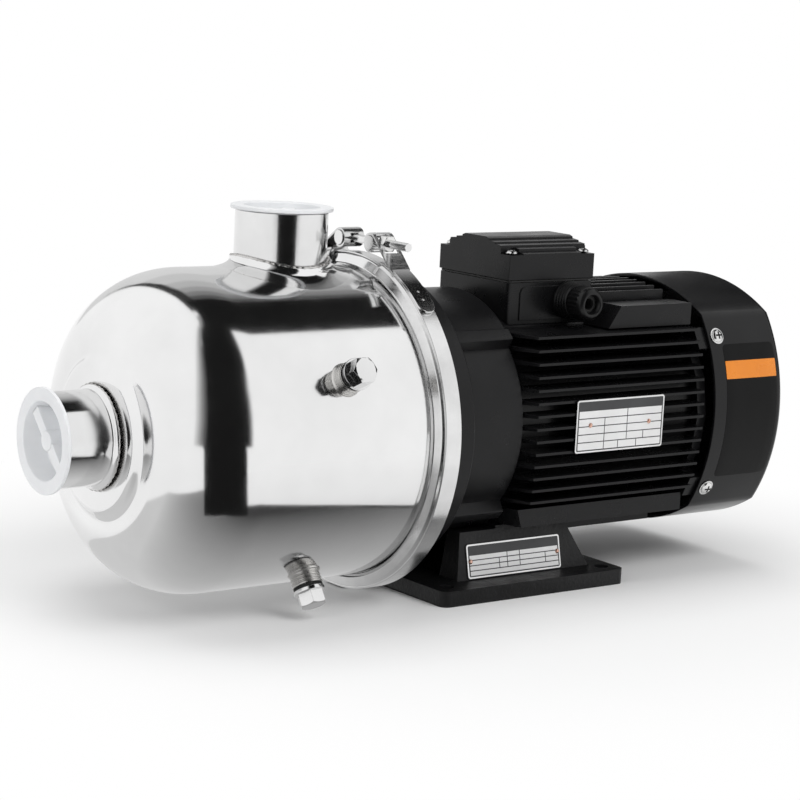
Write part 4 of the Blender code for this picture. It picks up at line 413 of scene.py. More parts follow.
BLACK_PAINT = paint("black_paint", (0.0042, 0.0042, 0.0046), (0.0072, 0.0072, 0.0078), (0.24, 0.34),
                    0.10, 900.0, 0.24)
BLACK_CAST = paint("black_cast_paint", (0.0040, 0.0040, 0.0044), (0.0068, 0.0068, 0.0074), (0.26, 0.36),
                   0.14, 500.0, 0.24)
BLACK_SHEET = paint("black_sheet_paint", (0.0036, 0.0036, 0.0040), (0.0058, 0.0058, 0.0063), (0.17, 0.24),
                    0.04, 1100.0, 0.26)
FOOT_PAINT = paint("rough_cast_paint", (0.0030, 0.0030, 0.0033), (0.0100, 0.0100, 0.0106), (0.34, 0.52),
                   1.0, 420.0, 0.30)
PLASTIC = paint("black_plastic", (0.0040, 0.0040, 0.0043), (0.0065, 0.0065, 0.0068), (0.24, 0.34),
                0.06, 1400.0, 0.28)
RUBBER = paint("black_rubber", 0.0120, 0.0200, (0.60, 0.75), 0.20, 1200.0)
CERAMIC = paint("ceramic", (0.72, 0.68, 0.60), (0.80, 0.77, 0.70), (0.18, 0.26), 0.05, 900.0)
WHITE_PLASTIC = paint("white_plastic", (0.80, 0.81, 0.83), (0.86, 0.87, 0.88), (0.34, 0.44), 0.08, 500.0)
PRINT_BLACK = paint("plate_print", (0.030, 0.031, 0.033), (0.045, 0.046, 0.048), (0.38, 0.48), 0.04, 900.0)
PRINT_WHITE = paint("plate_fields", 0.74, 0.82, (0.34, 0.44), 0.04, 900.0)
# Near-black gloss: the real decal on the fan cover panel, and also painted shade for the dark crosses on the screw
# heads.
DECAL_AND_RECESS_SHADE = paint("gloss_decal_and_recess_shade", (0.0022, 0.0022, 0.0023), (0.0034, 0.0034, 0.0035), (0.34, 0.42), 0.02, 600.0, 0.14)
DECAL_STRIPE = paint("orange_stripe", (0.72, 0.21, 0.012), (0.80, 0.25, 0.018), (0.24, 0.34), 0.03, 600.0)

feed(WHITE_PLASTIC.node_tree.nodes["Principled BSDF"],
     {"Subsurface Weight": 0.15, "Subsurface Radius": (0.004, 0.004, 0.004)})

NODE_LOOKS = {
    "stainless": TUBE_STEEL, "satin_steel": SATIN, "white_plastic": WHITE_PLASTIC, "black_rubber": RUBBER,
    "ceramic": CERAMIC, "cast_housing": BLACK_CAST, "black_aluminium": BLACK_PAINT, "core_steel": CORE,
    "copper": WINDING, "rotor_aluminium": ROTOR_METAL, "black_plastic": PLASTIC, "black_sheet": BLACK_SHEET,
    "cast_foot": FOOT_PAINT, "plate_metal": PLATE_RIM,
}


def dress_nodes():
    """Every node that stays visible takes the finish of its material slot."""
    for part in frame["record"]["subparts"]:
        node = nodes[part["node"]]
        node.data.materials.clear()
        node.data.materials.append(NODE_LOOKS[part["material_slot"]])


dress_nodes()


# Pump casing

def casing_line():
    """Outside of the casing as (x, radius) from the inlet hole to the clamp lip."""
    face = -CASING_LENGTH
    dome_start = face + DOME_DEPTH
    rise = CASING_RADIUS - DOME_FACE_RADIUS
    step = [(INLET_FACE_X, BORE), (INLET_FACE_X, STEP_RADIUS - 2.0), (face, STEP_RADIUS + 2.6)]
    line = rounded(step + [(face, DOME_FACE_RADIUS)], 2.4, False, 6)[:-1]
    line += [(dome_start - DOME_DEPTH * math.cos(angle), DOME_FACE_RADIUS + rise * math.sin(angle))
             for angle in [0.0] + spread(0.0, QUARTER_TURN, 44)]
    fine_start, fine_end = OUTLET_X - COLLAR_REACH - 1, OUTLET_X + COLLAR_REACH + 0.6
    line += [(x, CASING_RADIUS) for x in spread(dome_start, fine_start, 6) + spread(fine_start, fine_end, 100)]
    line += rounded([(fine_end, CASING_RADIUS), (-LIP_ROOT, CASING_RADIUS), (-LIP_HALF, LIP_RADIUS),
                     (-SEAT - 1.0, LIP_RADIUS)], 0.8, False)[1:]
    return line


def column_angles():
    """Angles around the shaft from straight up, close together beside the outlet."""
    reach = math.radians(30)
    return [-reach] + spread(-reach, reach, 100) + spread(reach, FULL_TURN - reach, 90)[:-1]


def make_casing():
    shape = bmesh.new()
    line = casing_line()
    columns = [[shape.verts.new((x, -radius * math.sin(angle), radius * math.cos(angle))) for x, radius in line]
               for angle in column_angles()]
    for index, column in enumerate(columns):
        following = columns[(index + 1) % len(columns)]
        for row in range(len(line) - 1):
            corners = (column[row], following[row], following[row + 1], column[row + 1])
            middle = sum((corner.co for corner in corners), Vector()) / 4
            if middle.z <= 0 or math.hypot(middle.x - OUTLET_X, middle.y) >= TUBE_RADIUS - 1.5:
                shape.faces.new(corners)
    bmesh.ops.recalc_face_normals(shape, faces=shape.faces)
    loose = [vertex for vertex in shape.verts if not vertex.link_faces]
    bmesh.ops.delete(shape, geom=loose, context="VERTS")
    lowest = min(shape.faces, key=lambda face: face.calc_center_median().z)
    if lowest.normal.z > 0:
        bmesh.ops.reverse_faces(shape, faces=shape.faces)
    bmesh.ops.transform(shape, matrix=PUMP_FRAME, verts=shape.verts)
    mesh = finished_mesh("casing_shell", shape)
    casing = add_object("casing_shell", mesh, POLISHED, ("pump_casing",))
    wall = casing.modifiers.new("wall", "SOLIDIFY")
    wall.thickness = CASING_WALL * MM
    wall.offset = -1.0


make_casing()


def saddle_ring(name, profile, material, closed=False, ripple=None):
    """Ring around the outlet whose (reach, height) profile stands on the round barrel."""
    shape = bmesh.new()
    sides = 200
    rings = []
    for index in range(sides):
        angle = FULL_TURN * index / sides
        ring = []
        for reach, height in profile:
            if ripple:
                reach += ripple(angle)
            x, y = reach * math.cos(angle), reach * math.sin(angle)
            ring.append(shape.verts.new((OUTLET_X + x, y, math.sqrt(CASING_RADIUS ** 2 - y * y) + height)))
        rings.append(ring)
    for left, right in zip(rings, rings[1:] + rings[:1]):
        join_lines(shape, left, right, closed)
    add_object(name, mesh_from(name, shape), material, ("pump_casing",))


saddle_ring("outlet_collar", [
    (COLLAR_REACH, -0.12), (39.5, 0.06), (37.0, 0.32), (34.5, 0.78), (32.4, 1.40), (30.9, 2.10), (29.9, 2.80),
    (29.4, 3.50), (29.2, 4.40), (29.15, 5.30), (28.9, 5.70), (28.4, 5.85), (TUBE_RADIUS - 0.6, 5.85),
    (TUBE_RADIUS - 0.6, -1.5)], POLISHED)
saddle_ring("outlet_weld", [(27.9 + 1.0 * math.cos(angle), 5.9 + 0.85 * math.sin(angle))
                            for angle in (FULL_TURN * index / 10 for index in range(10))], WELD, True,
            lambda angle: 0.20 * math.sin(angle * 52) + 0.12 * math.sin(angle * 19 + 1.0))


# Nozzles, weld beads and transport caps

def tube_profile(length):
    outer = [(0.0, TUBE_FOOT_RADIUS), (TUBE_FOOT_HEIGHT * 0.7, TUBE_FOOT_RADIUS - 0.6),
             (TUBE_FOOT_HEIGHT + 0.6, TUBE_RADIUS), (length, TUBE_RADIUS)]
    return rounded([(length, BORE), (0.0, BORE)] + outer, 0.7)


def weld(name, radius, thickness, matrix):
    """Ripple of melted metal around a joint."""
    circle = arc((0.0, radius), thickness, 0, FULL_TURN, 10)[:-1]

    def ripple(height, around, angle):
        return 0.22 * math.sin(angle * 46) + 0.12 * math.sin(angle * 17 + 1.0)

    turned(name, circle, matrix, "stainless", WELD, sides=240, ripple=ripple)


def make_cap(node, matrix, bar_turn):
    """White cap: a thin flange around a cup, crossed by a bar with a round hub."""
    flange, brim, plug, wall, depth = 29.4, 2.2, BORE - SEAT, 1.4, 12.0
    mouth, floor = plug - wall, wall - depth
    look = ("white_plastic", WHITE_PLASTIC, (node,), node)
    cup = rounded([(brim - 0.3, flange), (0.0, flange), (0.0, plug), (-depth, plug - 2.0)], 0.5, False)
    cup += [(-depth, plug - 2.6), (-depth, 0.0), (floor, 0.0)]
    cup += rounded([(floor, 1.0), (floor, mouth - 2.0), (brim, mouth), (brim, flange)], 0.8, False)[:-1]
    cup.append((brim, flange - 0.4))
    turned(node + "_cup", cup, matrix, *look, sides=128)
    reach, half, foot = mouth - 1.0, 3.5, floor - 0.4
    drawn(node + "_bar", [(-reach, -half), (reach, -half), (reach, half), (-reach, half)], foot, -0.8,
          matrix @ Matrix.Rotation(bar_turn, 4, "Z"), *look, edge=0.6)
    hub = rounded([(-0.1, 0.0), (-0.1, 5.5), (foot, 5.8), (foot, 0.0)], 0.7, False)
    turned(node + "_hub", hub, matrix, *look, sides=48)


inlet_place = frame_towards((INLET_FACE_X - SEAT, 0, 0), -X_AXIS, Y_AXIS)
turned("inlet_tube", tube_profile(INLET_LENGTH), inlet_place, "stainless", TUBE_STEEL, ("inlet_nozzle",), sides=160)
outlet_profile = [(OUTLET_TOP, BORE), (OUTLET_FOOT, BORE), (OUTLET_FOOT, TUBE_RADIUS), (OUTLET_TOP, TUBE_RADIUS)]
turned("outlet_tube", rounded(outlet_profile, 0.7), upright(OUTLET_X), "stainless", TUBE_STEEL,
       ("outlet_nozzle",), sides=160)
weld("inlet_weld", TUBE_FOOT_RADIUS - 0.2, 0.35, inlet_place)
make_cap("inlet_cap", frame_towards((INLET_FACE_X - SEAT * 2 - INLET_LENGTH, 0, 0), -X_AXIS, Y_AXIS),
         -EIGHTH_TURN)
make_cap("outlet_cap", upright(OUTLET_X, 0, OUTLET_TOP + SEAT), EIGHTH_TURN)


# Priming plug and drain plug

def hex_head(name, radius, bottom, top, matrix, slot, material, replaces, body="housing"):
    """Hexagon head whose upper corners are turned to a chamfer."""
    shape = bmesh.new()
    sides = 48
    half_side = math.pi / 6
    flat = radius * math.cos(half_side)
    chamfer = radius - flat
    directions = [(math.cos(angle), math.sin(angle), angle)
                  for angle in (FULL_TURN * index / sides for index in range(sides))]
    rings = []
    for height in (bottom, top):
        ring = []
        for across, up, angle in directions:
            offset = (angle + half_side) % (half_side * 2) - half_side
            reach = flat / math.cos(half_side - abs(offset))
            drop = max(reach - flat - 0.1, 0.0) * 0.6 if height == top else 0.0
            ring.append(shape.verts.new((reach * across, reach * up, height - drop)))
        rings.append(ring)
    inner = flat - chamfer * 0.6
    crown = [shape.verts.new((inner * across, inner * up, top + chamfer * 0.25)) for across, up, _ in directions]
    join_lines(shape, rings[0], rings[1])
    join_lines(shape, rings[1], crown)
    shape.faces.new(list(reversed(rings[0])))
    shape.faces.new(crown)
    soften_edges(add_object(name, mesh_from(name, shape, matrix), material, replaces, body), 0.25, 2, 22.0)


def make_plug(node, angle):
    """Welded threaded boss, washer and hexagon plug."""
    bore, height, radius, washer_height = 6.5, 8.0, 8.8, 1.4
    place = radial(angle, CASING_RADIUS, PLUG_X)
    boss = [(height, bore), (-2.4, bore), (-2.4, radius + 1.2), (0.2, radius + 0.7), (1.0, radius)]
    for ring in range(3):
        low = 1.6 + ring * 2.0
        boss += [(low, radius), (low + 0.3, radius - 0.55), (low + 0.9, radius - 0.55), (low + 1.2, radius)]
    boss += [(height, radius)]
    turned(node + "_boss_rings", rounded(boss, 0.3), place, "satin_steel", SATIN, (node + "_boss",), sides=72)
    seat = CASING_RADIUS + height + SEAT
    washer = rounded([(washer_height, bore), (0.0, bore), (0.0, 8.5), (washer_height, 8.5)], 0.5)
    turned(node + "_washer_ring", washer, radial(angle, seat, PLUG_X), "black_rubber", RUBBER,
           (node + "_washer",), node + "_washer", sides=64)
    head = radial(angle, seat + washer_height + SEAT, PLUG_X)
    look = ("stainless", TUBE_STEEL, (node + "_plug",), node + "_plug")
    crest, root, pitch = 6.2, 5.5, 1.337
    shank = [(2.2, 0.0), (2.2, 9.0), (0.0, 9.0), (0.0, crest)]
    for ring in range(5):
        shank += [(-drop - ring * pitch, reach) for drop, reach in ((1.0, crest), (1.5, root), (2.0, crest))]
    shank += [(-8.5, 5.6), (-8.5, 0.0)]
    turned(node + "_plug_shank", rounded(shank, 0.3, False), head, *look, sides=64)
    hex_head(node + "_plug_head", 8.0, 1.6, 9.8, head, *look)


make_plug("priming", PRIMING_ANGLE)
make_plug("drain", DRAIN_ANGLE)


# Band clamp

def make_clamp():
    """Channel with sloping flanks, flat strap around it, and the thin bridge under the straps."""
    slope = (LIP_ROOT - LIP_HALF) / (LIP_RADIUS - CASING_RADIUS)
    thick = SHEET * math.hypot(1.0, slope)
    foot = CASING_RADIUS + SHEET
    inner_radius = LIP_RADIUS + SEAT
    sheet_radius = inner_radius + SHEET
    strap_radius = sheet_radius + STRAP_SHEET
    top = LIP_HALF + SEAT
    root = LIP_ROOT + SEAT - SHEET * slope
    outer = [(-root - thick, foot), (-top - thick, sheet_radius - 1.2), (-top - thick + 1.6, sheet_radius),
             (-STRAP_HALF, sheet_radius), (-STRAP_HALF, strap_radius)]
    inner = [(-root, foot), (-top, inner_radius)]
    outer += [(-height, radius) for height, radius in reversed(outer)]
    inner += [(-height, radius) for height, radius in reversed(inner)]
    look = ("stainless", BAND_STEEL, ("clamp_band",))
    gap = GAP_NEAR - GAP_FAR
    turned("clamp_channel", rounded(list(reversed(outer)) + inner, 0.5), along_x(), *look, sides=220,
           start=QUARTER_TURN + GAP_NEAR + GAP_SLIT, sweep=FULL_TURN - gap - GAP_SLIT * 2)
    thin = [(-LIP_HALF, inner_radius), (LIP_HALF, inner_radius), (LIP_HALF, inner_radius + 1.0),
            (-LIP_HALF, inner_radius + 1.0)]
    turned("clamp_bridge", rounded(thin, 0.3), along_x(), *look, sides=24,
           start=QUARTER_TURN + GAP_FAR - GAP_SLIT, sweep=gap + GAP_SLIT * 2)


def strap_tongue(name, start, end, rivets):
    """Evenly curved tongue with a round end that lies on a strap's own, and its rivets."""
    inner, outer, half_width, columns = 101.5, 102.75, 5.8, 8
    length = outer * math.radians(abs(end - start))
    turn = math.copysign(1.0, end - start)
    reaches = [half_width * (1 - math.cos(angle)) for angle in spread(0.0, QUARTER_TURN, 9)]
    reaches += spread(half_width, length, 12)
    shape = bmesh.new()
    sheets = []
    for radius in (outer, inner):
        grid = []
        for reach in reaches:
            half = math.sqrt(half_width ** 2 - max(half_width - reach, 0.0) ** 2)
            angle = math.radians(end) - turn * reach / outer
            y, z = -radius * math.sin(angle), radius * math.cos(angle)
            grid.append([shape.verts.new((half * (index * 2 / columns - 1), y, z)) for index in range(columns + 1)])
        sheets.append(grid)
    close_sheets(shape, sheets)
    soften_edges(add_object(name, mesh_from(name, shape), TUBE_STEEL), 0.2, 2, 40.0)
    dome = [(-0.3, 0.0), (-0.3, 0.85), (0.06, 0.8), (0.2, 0.55), (0.26, 0.25), (0.28, 0.0)]
    for index, reach in enumerate(rivets):
        place = radial(QUARTER_TURN - math.radians(end) + turn * reach / outer, outer, 0)
        turned("%s_rivet_%d" % (name, index + 1), dome, place, "stainless", TUBE_STEEL, sides=24)


TONGUE_RIVETS = (9.2, 15.6)

make_clamp()
for strap in ("clamp_strap_near", "clamp_strap_far"):
    softened_copy(strap, "stainless", 0.25, 2, 40.0, BAND_STEEL)
strap_tongue("strap_tongue_near", 25.0, 45.2, TONGUE_RIVETS)
strap_tongue("strap_tongue_far", -16.5, -36.2, TONGUE_RIVETS)
softened_copy("clamp_trunnion", "stainless", 0.35, 2, 45.0)
softened_copy("clamp_t_bolt", "stainless", 0.3, 2, 45.0)


def make_clamp_nut():
    low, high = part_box("clamp_nut")
    middle = (low + high) / 2
    place = towards_near(*((Vector((middle.x, high.y, middle.z)) - AXIS) / MM))
    hex_head("clamp_nut_head", 5.0, 0.0, 6.0, place, "satin_steel", SCREW, ("clamp_nut",))


make_clamp_nut()


# Lantern

def make_lantern():
    """Flange, shoulder and neck, with the raised saddles that carry the corner ridges."""
    face, shoulder, neck, saddle, rear, wall, bearing = 1.3, 87.5, 70.5, 75.0, 75.7, 4.5, 21.3
    look = ("cast_housing", BLACK_CAST, ("lantern",))
    line = [(face, LIP_RADIUS), (LIP_HALF, LIP_RADIUS), (LIP_ROOT, CASING_RADIUS), (LIP_ROOT, shoulder),
            (26.0, shoulder), (29.0, neck), (rear, neck), (rear, bearing), (rear - 20.0, bearing),
            (rear - 20.0, 26.0), (rear - 8.0, 26.0), (rear - 8.0, neck - wall), (face, neck - wall)]
    turned("lantern_body", rounded(line, 0.9), along_x(), *look, sides=128)
    edge, root, reach = math.radians(2.9), math.radians(5.2), 77.5
    half = [(radius * math.cos(angle), radius * math.sin(angle))
            for radius, angle in ((neck - 1.0, EIGHTH_TURN - root), (reach, EIGHTH_TURN - edge),
                                  (reach, EIGHTH_TURN + edge))]
    crown = arc((0.0, 0.0), saddle, EIGHTH_TURN + edge, EIGHTH_TURN * 3 - edge, 40)
    floor = arc((0.0, 0.0), neck - 2.0, EIGHTH_TURN * 3 + root, EIGHTH_TURN - root, 40)[1:-1]
    outline = half + crown + [(-across, up) for across, up in reversed(half)] + floor
    for name, sign in (("lantern_saddle_top", 1), ("lantern_saddle_bottom", -1)):
        points = [(across * sign, up * sign) for across, up in outline]
        drawn(name, points, 20.0, rear - SEAT, along_x(), *look, edge=0.9)


make_lantern()


# Motor, terminal box, cover and foot

softened_copy("motor_frame", "black_aluminium", 0.35)
softened_copy("fan_cover", "black_sheet", 0.5, 2, 38.0)


def cover_skin():
    """Smooth pressed skin of the fan cover: four bulged sides and a rounded rear edge."""
    proud = 0.12

    def outline(inset):
        radius = COVER_BULGE - inset
        corner = (math.sqrt(2 * radius ** 2 - COVER_SHIFT ** 2) - COVER_SHIFT) / 2
        reach = math.asin(corner / radius)
        return four_turns(arc((-COVER_SHIFT, 0.0), radius, -reach, reach, 40)[:-1])

    front, rear, edge = 223.5, 283.4, 5.2
    stations = [(front - 0.1, 0.6), (front - 0.1, -proud + 0.25), (front + 0.15, -proud)]
    stations += [(rear - edge + edge * math.sin(angle), -proud + edge * (1 - math.cos(angle)))
                 for angle in [0.0] + spread(0.0, QUARTER_TURN, 8)]
    shape = bmesh.new()
    rings = [[shape.verts.new((x, y, z)) for y, z in outline(inset)] for x, inset in stations]
    for low, high in zip(rings, rings[1:]):
        join_lines(shape, low, high)
    weight_normals(add_object("cover_skin", mesh_from("cover_skin", shape), BLACK_SHEET))


cover_skin()
softened_copy("rear_end_shield", "black_aluminium", 0.4, 1, 40.0)
softened_copy("terminal_box_base", "black_aluminium", 0.6, 3)
softened_copy("terminal_box_lid", "black_aluminium", 0.6, 3, 25.0)
softened_copy("foot", "cast_foot", 1.2, 3)
softened_copy("fan", "black_plastic", 0.3, 1, 40.0, body="rotor")


def screw_head(name, node, place, radius, height, cross_shade_depth):
    """Pan head with a rounded rim and its washer face, with a near-black cross of painted shade standing in for its
    cross socket.
    """
    dome = rounded([(0.0, 0.0), (0.0, radius), (height * 0.55, radius), (height, radius * 0.55), (height, 0.0)],
                   radius * 0.35, False, 4)
    turned(name, dome, place, "satin_steel", SCREW, (node,), sides=48)
    arm, tip = radius * 0.13, radius * 0.56
    # Painted shade: the cross socket is not cut; a near-black cross block standing just proud of the head top
    # stands in for the shade inside it.
    drawn(name + "_painted_cross_shade", four_turns([(tip, -arm), (tip, arm), (arm, arm)]), height - cross_shade_depth, height + 0.05,
          place, "satin_steel", DECAL_AND_RECESS_SHADE, edge=0.02)


def make_cover_screws():
    height, screw_x = 48.0, 230.5
    angle = math.asin(height / COVER_BULGE)
    across = COVER_BULGE * math.cos(angle) - COVER_SHIFT
    washer = rounded([(-0.1, 2.4), (-0.1, 5.2), (0.5, 5.2), (0.5, 2.4)], 0.2)
    for index in range(1, 5):
        node = "cover_screw_%d" % index
        low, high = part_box(node)
        side = -1 if (low.y + high.y) < 0 else 1
        level = 1 if (low.z + high.z) / 2 > SHAFT_Z else -1
        normal = Vector((0, side * math.cos(angle), level * math.sin(angle)))
        place = frame_towards(Vector((screw_x, side * across, level * height)) + normal * SEAT, normal, X_AXIS)
        screw_head(node + "_head", node, place, 4.2, 2.2, 0.4)
        turned(node + "_washer", washer, place, "satin_steel", SCREW, sides=48)


def make_lid_screws():
    height = 2.4
    for index in range(1, 5):
        node = "lid_screw_%d" % index
        low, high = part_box(node)
        middle = ((low + high) / 2 - AXIS) / MM
        top = (high.z - SHAFT_Z) / MM
        screw_head(node + "_head", node, upright(middle.x, middle.y, top - height), 3.6, height, 0.5)


make_cover_screws()
make_lid_screws()


# Cable gland

def make_gland():
    low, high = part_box("gland_body")
    place = towards_near(133.5, (high.y - AXIS.y) / MM - 3.0, 70.0)
    body = [(-3.0, 7.5), (0.0, 7.5), (0.0, 11.2), (0.8, 11.2)]
    for ring in range(4):
        start = 2.0 + ring * 2.4
        body += [(start, 11.2), (start + 0.4, 10.6), (start + 1.1, 10.6), (start + 1.5, 11.2)]
    body += [(12.0, 10.6), (12.0, 7.8), (20.5, 7.8), (20.5, 6.5), (12.0, 6.5), (12.0, 5.0), (-3.0, 5.0)]
    turned("gland_body_rings", rounded(body, 0.35), place, "black_plastic", PLASTIC, ("gland_body",), sides=80)
    nut = [(12.3, 8.1), (12.3, 10.4), (21.0, 10.4), (23.4, 9.4), (24.8, 7.6), (24.8, 6.2), (22.6, 5.0),
           (21.1, 5.0), (21.1, 8.1)]

    def flutes(height, radius, angle):
        return -0.35 * (0.5 + 0.5 * math.cos(angle * 24)) if radius > 9.8 and height < 21.5 else 0.0

    turned("gland_nut_flutes", rounded(nut, 0.6), place, "black_plastic", PLASTIC, ("gland_nut",),
           sides=192, ripple=flutes)


make_gland()


# Rating plates and cover panel

def plate_frame(node):
    """Matrix in millimetres on the outer face of a thin plate, X along it and Y up it, and its size."""
    mesh = nodes[node].data
    normal = max(mesh.polygons, key=lambda face: face.area).normal.copy()
    if normal.y > 0:
        normal = -normal
    corners = [vertex.co for vertex in mesh.vertices]
    reach = max(corner.dot(normal) for corner in corners)
    middle = sum(corners, Vector()) / len(corners)
    middle += normal * (reach - middle.dot(normal))
    rotation = Matrix((X_AXIS, normal.cross(X_AXIS), normal)).transposed().to_4x4()
    levels = [(rotation.inverted() @ corner).y for corner in corners]
    places = [corner.x for corner in corners]
    return (Matrix.Translation(middle) @ rotation @ Matrix.Scale(MM, 4), (max(places) - min(places)) / MM,
            (max(levels) - min(levels)) / MM)


def dress_plate(node, header, rows, rivets):
    """Plate with rounded corners: bright rim, dark ground and blank light fields, held by two rivets."""
    place, length, height = plate_frame(node)
    rim, line = 1.0, 0.6
    drawn(node + "_base", box_outline(length / 2, height / 2, 1.6), -0.6, 0.0, place, "plate_metal", PLATE_RIM,
          (node,), edge=0.15)
    drawn(node + "_ground", box_outline(length / 2 - rim, height / 2 - rim, 0.9), -0.1, 0.05, place,
          "plate_metal", PRINT_BLACK, edge=0.02)
    inner_length, inner_height = length - rim * 2 - 1.2, height - rim * 2 - 1.0
    left, top = -inner_length / 2, inner_height / 2 - header
    row_height = (inner_height - header) / len(rows)
    shape = bmesh.new()
    for index, cuts in enumerate(rows):
        edges = [0.0, *cuts, 1.0]
        high = top - row_height * index - line / 2
        low = high - row_height + line
        for start, end in zip(edges, edges[1:]):
            first = left + inner_length * start + line / 2
            last = left + inner_length * end - line / 2
            middle = Matrix.Translation(((first + last) / 2, (high + low) / 2, 0.05))
            bmesh.ops.create_cube(shape, size=1.0,
                                  matrix=middle @ Matrix.Diagonal((last - first, high - low, 0.1, 1.0)))
    mesh = mesh_from(node + "_fields", shape, place)
    mesh.shade_flat()
    add_object(node + "_fields", mesh, PRINT_WHITE)
    dome = rounded([(0.0, 0.0), (0.0, 1.5), (0.5, 1.4), (0.9, 0.7), (0.9, 0.0)], 0.4, False)
    for index, (x, y) in enumerate(rivets):
        turned("%s_rivet_%d" % (node, index + 1), dome, place @ Matrix.Translation((x, y, 0.0)), "plate_metal",
               RIVET, sides=24)


dress_plate("motor_rating_plate", 5.0, [(0.58,), (0.31, 0.58), (0.31, 0.58), (0.31, 0.58, 0.78), (0.31, 0.48, 0.7)],
            [(-24.0, 0.6), (23.0, 0.2)])
dress_plate("pump_rating_plate", 5.0, [(0.42, 0.56), (0.33, 0.42, 0.56, 0.85), (0.33, 0.42, 0.56, 0.85), ()],
            [(-33.6, 0.0), (33.6, 0.0)])


def cover_sheet(name, x_low, x_high, z_low, z_high, corner, proud, material):
    """Thin sheet lying on the near flank of the fan cover and following its bulge."""
    columns = 6
    height = z_high - z_low
    rim = [corner * (1 - math.cos(QUARTER_TURN * index / 8)) for index in range(8)]
    levels = rim + [corner] + spread(corner, height - corner, 40) + [height - level for level in reversed(rim)]
    shape = bmesh.new()
    sheets = []
    for lift in (proud, -0.3):
        grid = []
        for level in levels:
            rise = max(corner - level, corner - (height - level), 0.0)
            inset = corner - math.sqrt(max(corner ** 2 - rise ** 2, 0.0))
            z = z_low + level
            y = COVER_SHIFT - math.sqrt((COVER_BULGE + lift) ** 2 - z * z)
            grid.append([shape.verts.new((x_low + inset + (x_high - x_low - inset * 2) * index / columns, y, z))
                         for index in range(columns + 1)])
        sheets.append(grid)
    close_sheets(shape, sheets)
    weight_normals(add_object(name, mesh_from(name, shape), material))


cover_sheet("cover_panel", 233.5, 277.0, -41.0, 43.0, 3.0, 0.25, DECAL_AND_RECESS_SHADE)
cover_sheet("cover_panel_stripe", 233.6, 276.9, 22.0, 33.0, 0.4, 0.4, DECAL_STRIPE)


# Camera at the photograph's viewing angle

def make_camera():
    yaw, pitch, roll = math.radians(37.20), math.radians(9.45), math.radians(2.89)
    forward = Vector((math.sin(yaw) * math.cos(pitch), math.cos(yaw) * math.cos(pitch), -math.sin(pitch)))
    level = Vector((math.cos(yaw), -math.sin(yaw), 0.0))
    upward = level.cross(forward)
    right = level * math.cos(roll) + upward * math.sin(roll)
    up = upward * math.cos(roll) - level * math.sin(roll)
    data = bpy.data.cameras.new("camera")
    data.sensor_width = 36.0
    data.sensor_fit = "HORIZONTAL"
    data.lens = 107.52
    data.clip_end = 50.0
    camera = place_object("camera", data)
    turn = Matrix((right, up, -forward)).transposed().to_4x4()
    camera.matrix_world = Matrix.Translation((-0.8216 + 0.004 + ORIGIN_X, -1.1264, 0.2435 + SHAFT_Z)) @ turn
    bpy.context.scene.camera = camera


make_camera()

bpy.context.scene.view_settings.view_transform = "Standard"


# Reflection cards, seen only in glossy surfaces

SKY_DISTANCE = 3.0


def flat_mesh(name, points, faces):
    mesh = bpy.data.meshes.new(name)
    mesh.from_pydata([tuple(point) for point in points], [], faces)
    return mesh


def card(name, points, faces, level):
    """Sheet of even brightness, kept out of every ray but the glossy ones. Gives back its glow."""
    piece = place_object(name, flat_mesh(name, points, faces))
    material = bpy.data.materials.new(name)
    material.use_nodes = True
    tree = material.node_tree
    tree.nodes.clear()
    glow = add_node(tree, "ShaderNodeEmission", {"Color": (level, level, level, 1)})
    add_node(tree, "ShaderNodeOutputMaterial", {"Surface": glow.outputs[0]})
    piece.data.materials.append(material)
    for ray in ("camera", "diffuse", "transmission", "shadow", "volume_scatter"):
        setattr(piece, "visible_" + ray, False)
    return glow


def strip_card(name, left, right, level):
    """Folded card between two lines of points in metres."""
    count = len(left)
    card(name, left + right, [(index, index + 1, count + index + 1, count + index) for index in range(count - 1)],
         level)


def towards(azimuth, elevation):
    """Point in a direction from the pump: azimuth from the near side towards the motor end."""
    a, e = math.radians(azimuth), math.radians(elevation)
    direction = Vector((math.sin(a) * math.cos(e), -math.cos(a) * math.cos(e), math.sin(e)))
    return direction * SKY_DISTANCE + AXIS


def over(x, phi, distance=2.98):
    """Point in a direction given by its share along the shaft and its angle over the pump from the near side."""
    angle, across = math.radians(phi), math.sqrt(1 - x * x)
    return Vector((x, -math.cos(angle) * across, math.sin(angle) * across)) * distance + AXIS


def overhead_card(name, start, end, x_low, x_high, level, distance):
    """Strip over the pump between two angles from the near side upward, along the shaft's direction."""
    angles = [start] + spread(start, end, 10)
    strip_card(name, *([over(x, phi, distance) for phi in angles] for x in (x_low, x_high)), level)


def floor_patch(name, outline, level, height):
    """Card lying on the floor, from an outline in millimetres along and across the pump."""
    points = [(ORIGIN_X + x * MM, y * MM, height) for x, y in outline]
    return card(name, points, [tuple(range(len(outline)))], level)


def sky_strip(name, left, right, level):
    """Card between two lines of (azimuth, elevation)."""
    strip_card(name, *([towards(*place) for place in line] for line in (left, right)), level)


def shifted(line, turn):
    return [(azimuth + turn, elevation) for azimuth, elevation in line]


BAND_LEFT = [(-41.4, -1.9), (-39, 13.5), (-38.6, 30), (-38.4, 41), (-40, 55), (-43, 67), (-52, 79)]
BAND_RIGHT = [(6.3, -1.9), (7.0, 10), (8.6, 24), (10.5, 35), (22, 53), (37, 66), (60, 73)]
DARKEST = 0.010
sky_strip("card_dark", BAND_LEFT, BAND_RIGHT, DARKEST)
for step, level in enumerate((0.10, 0.24, 0.44, 0.70)):
    sky_strip("card_left_edge_%d" % (step + 1), shifted(BAND_LEFT, -3.4 * (step + 1)),
              shifted(BAND_LEFT, -3.4 * step), level)
for step, level in enumerate((0.16, 0.48)):
    sky_strip("card_right_edge_%d" % (step + 1), shifted(BAND_RIGHT, 1.8 * step),
              shifted(BAND_RIGHT, 1.8 * (step + 1)), level)

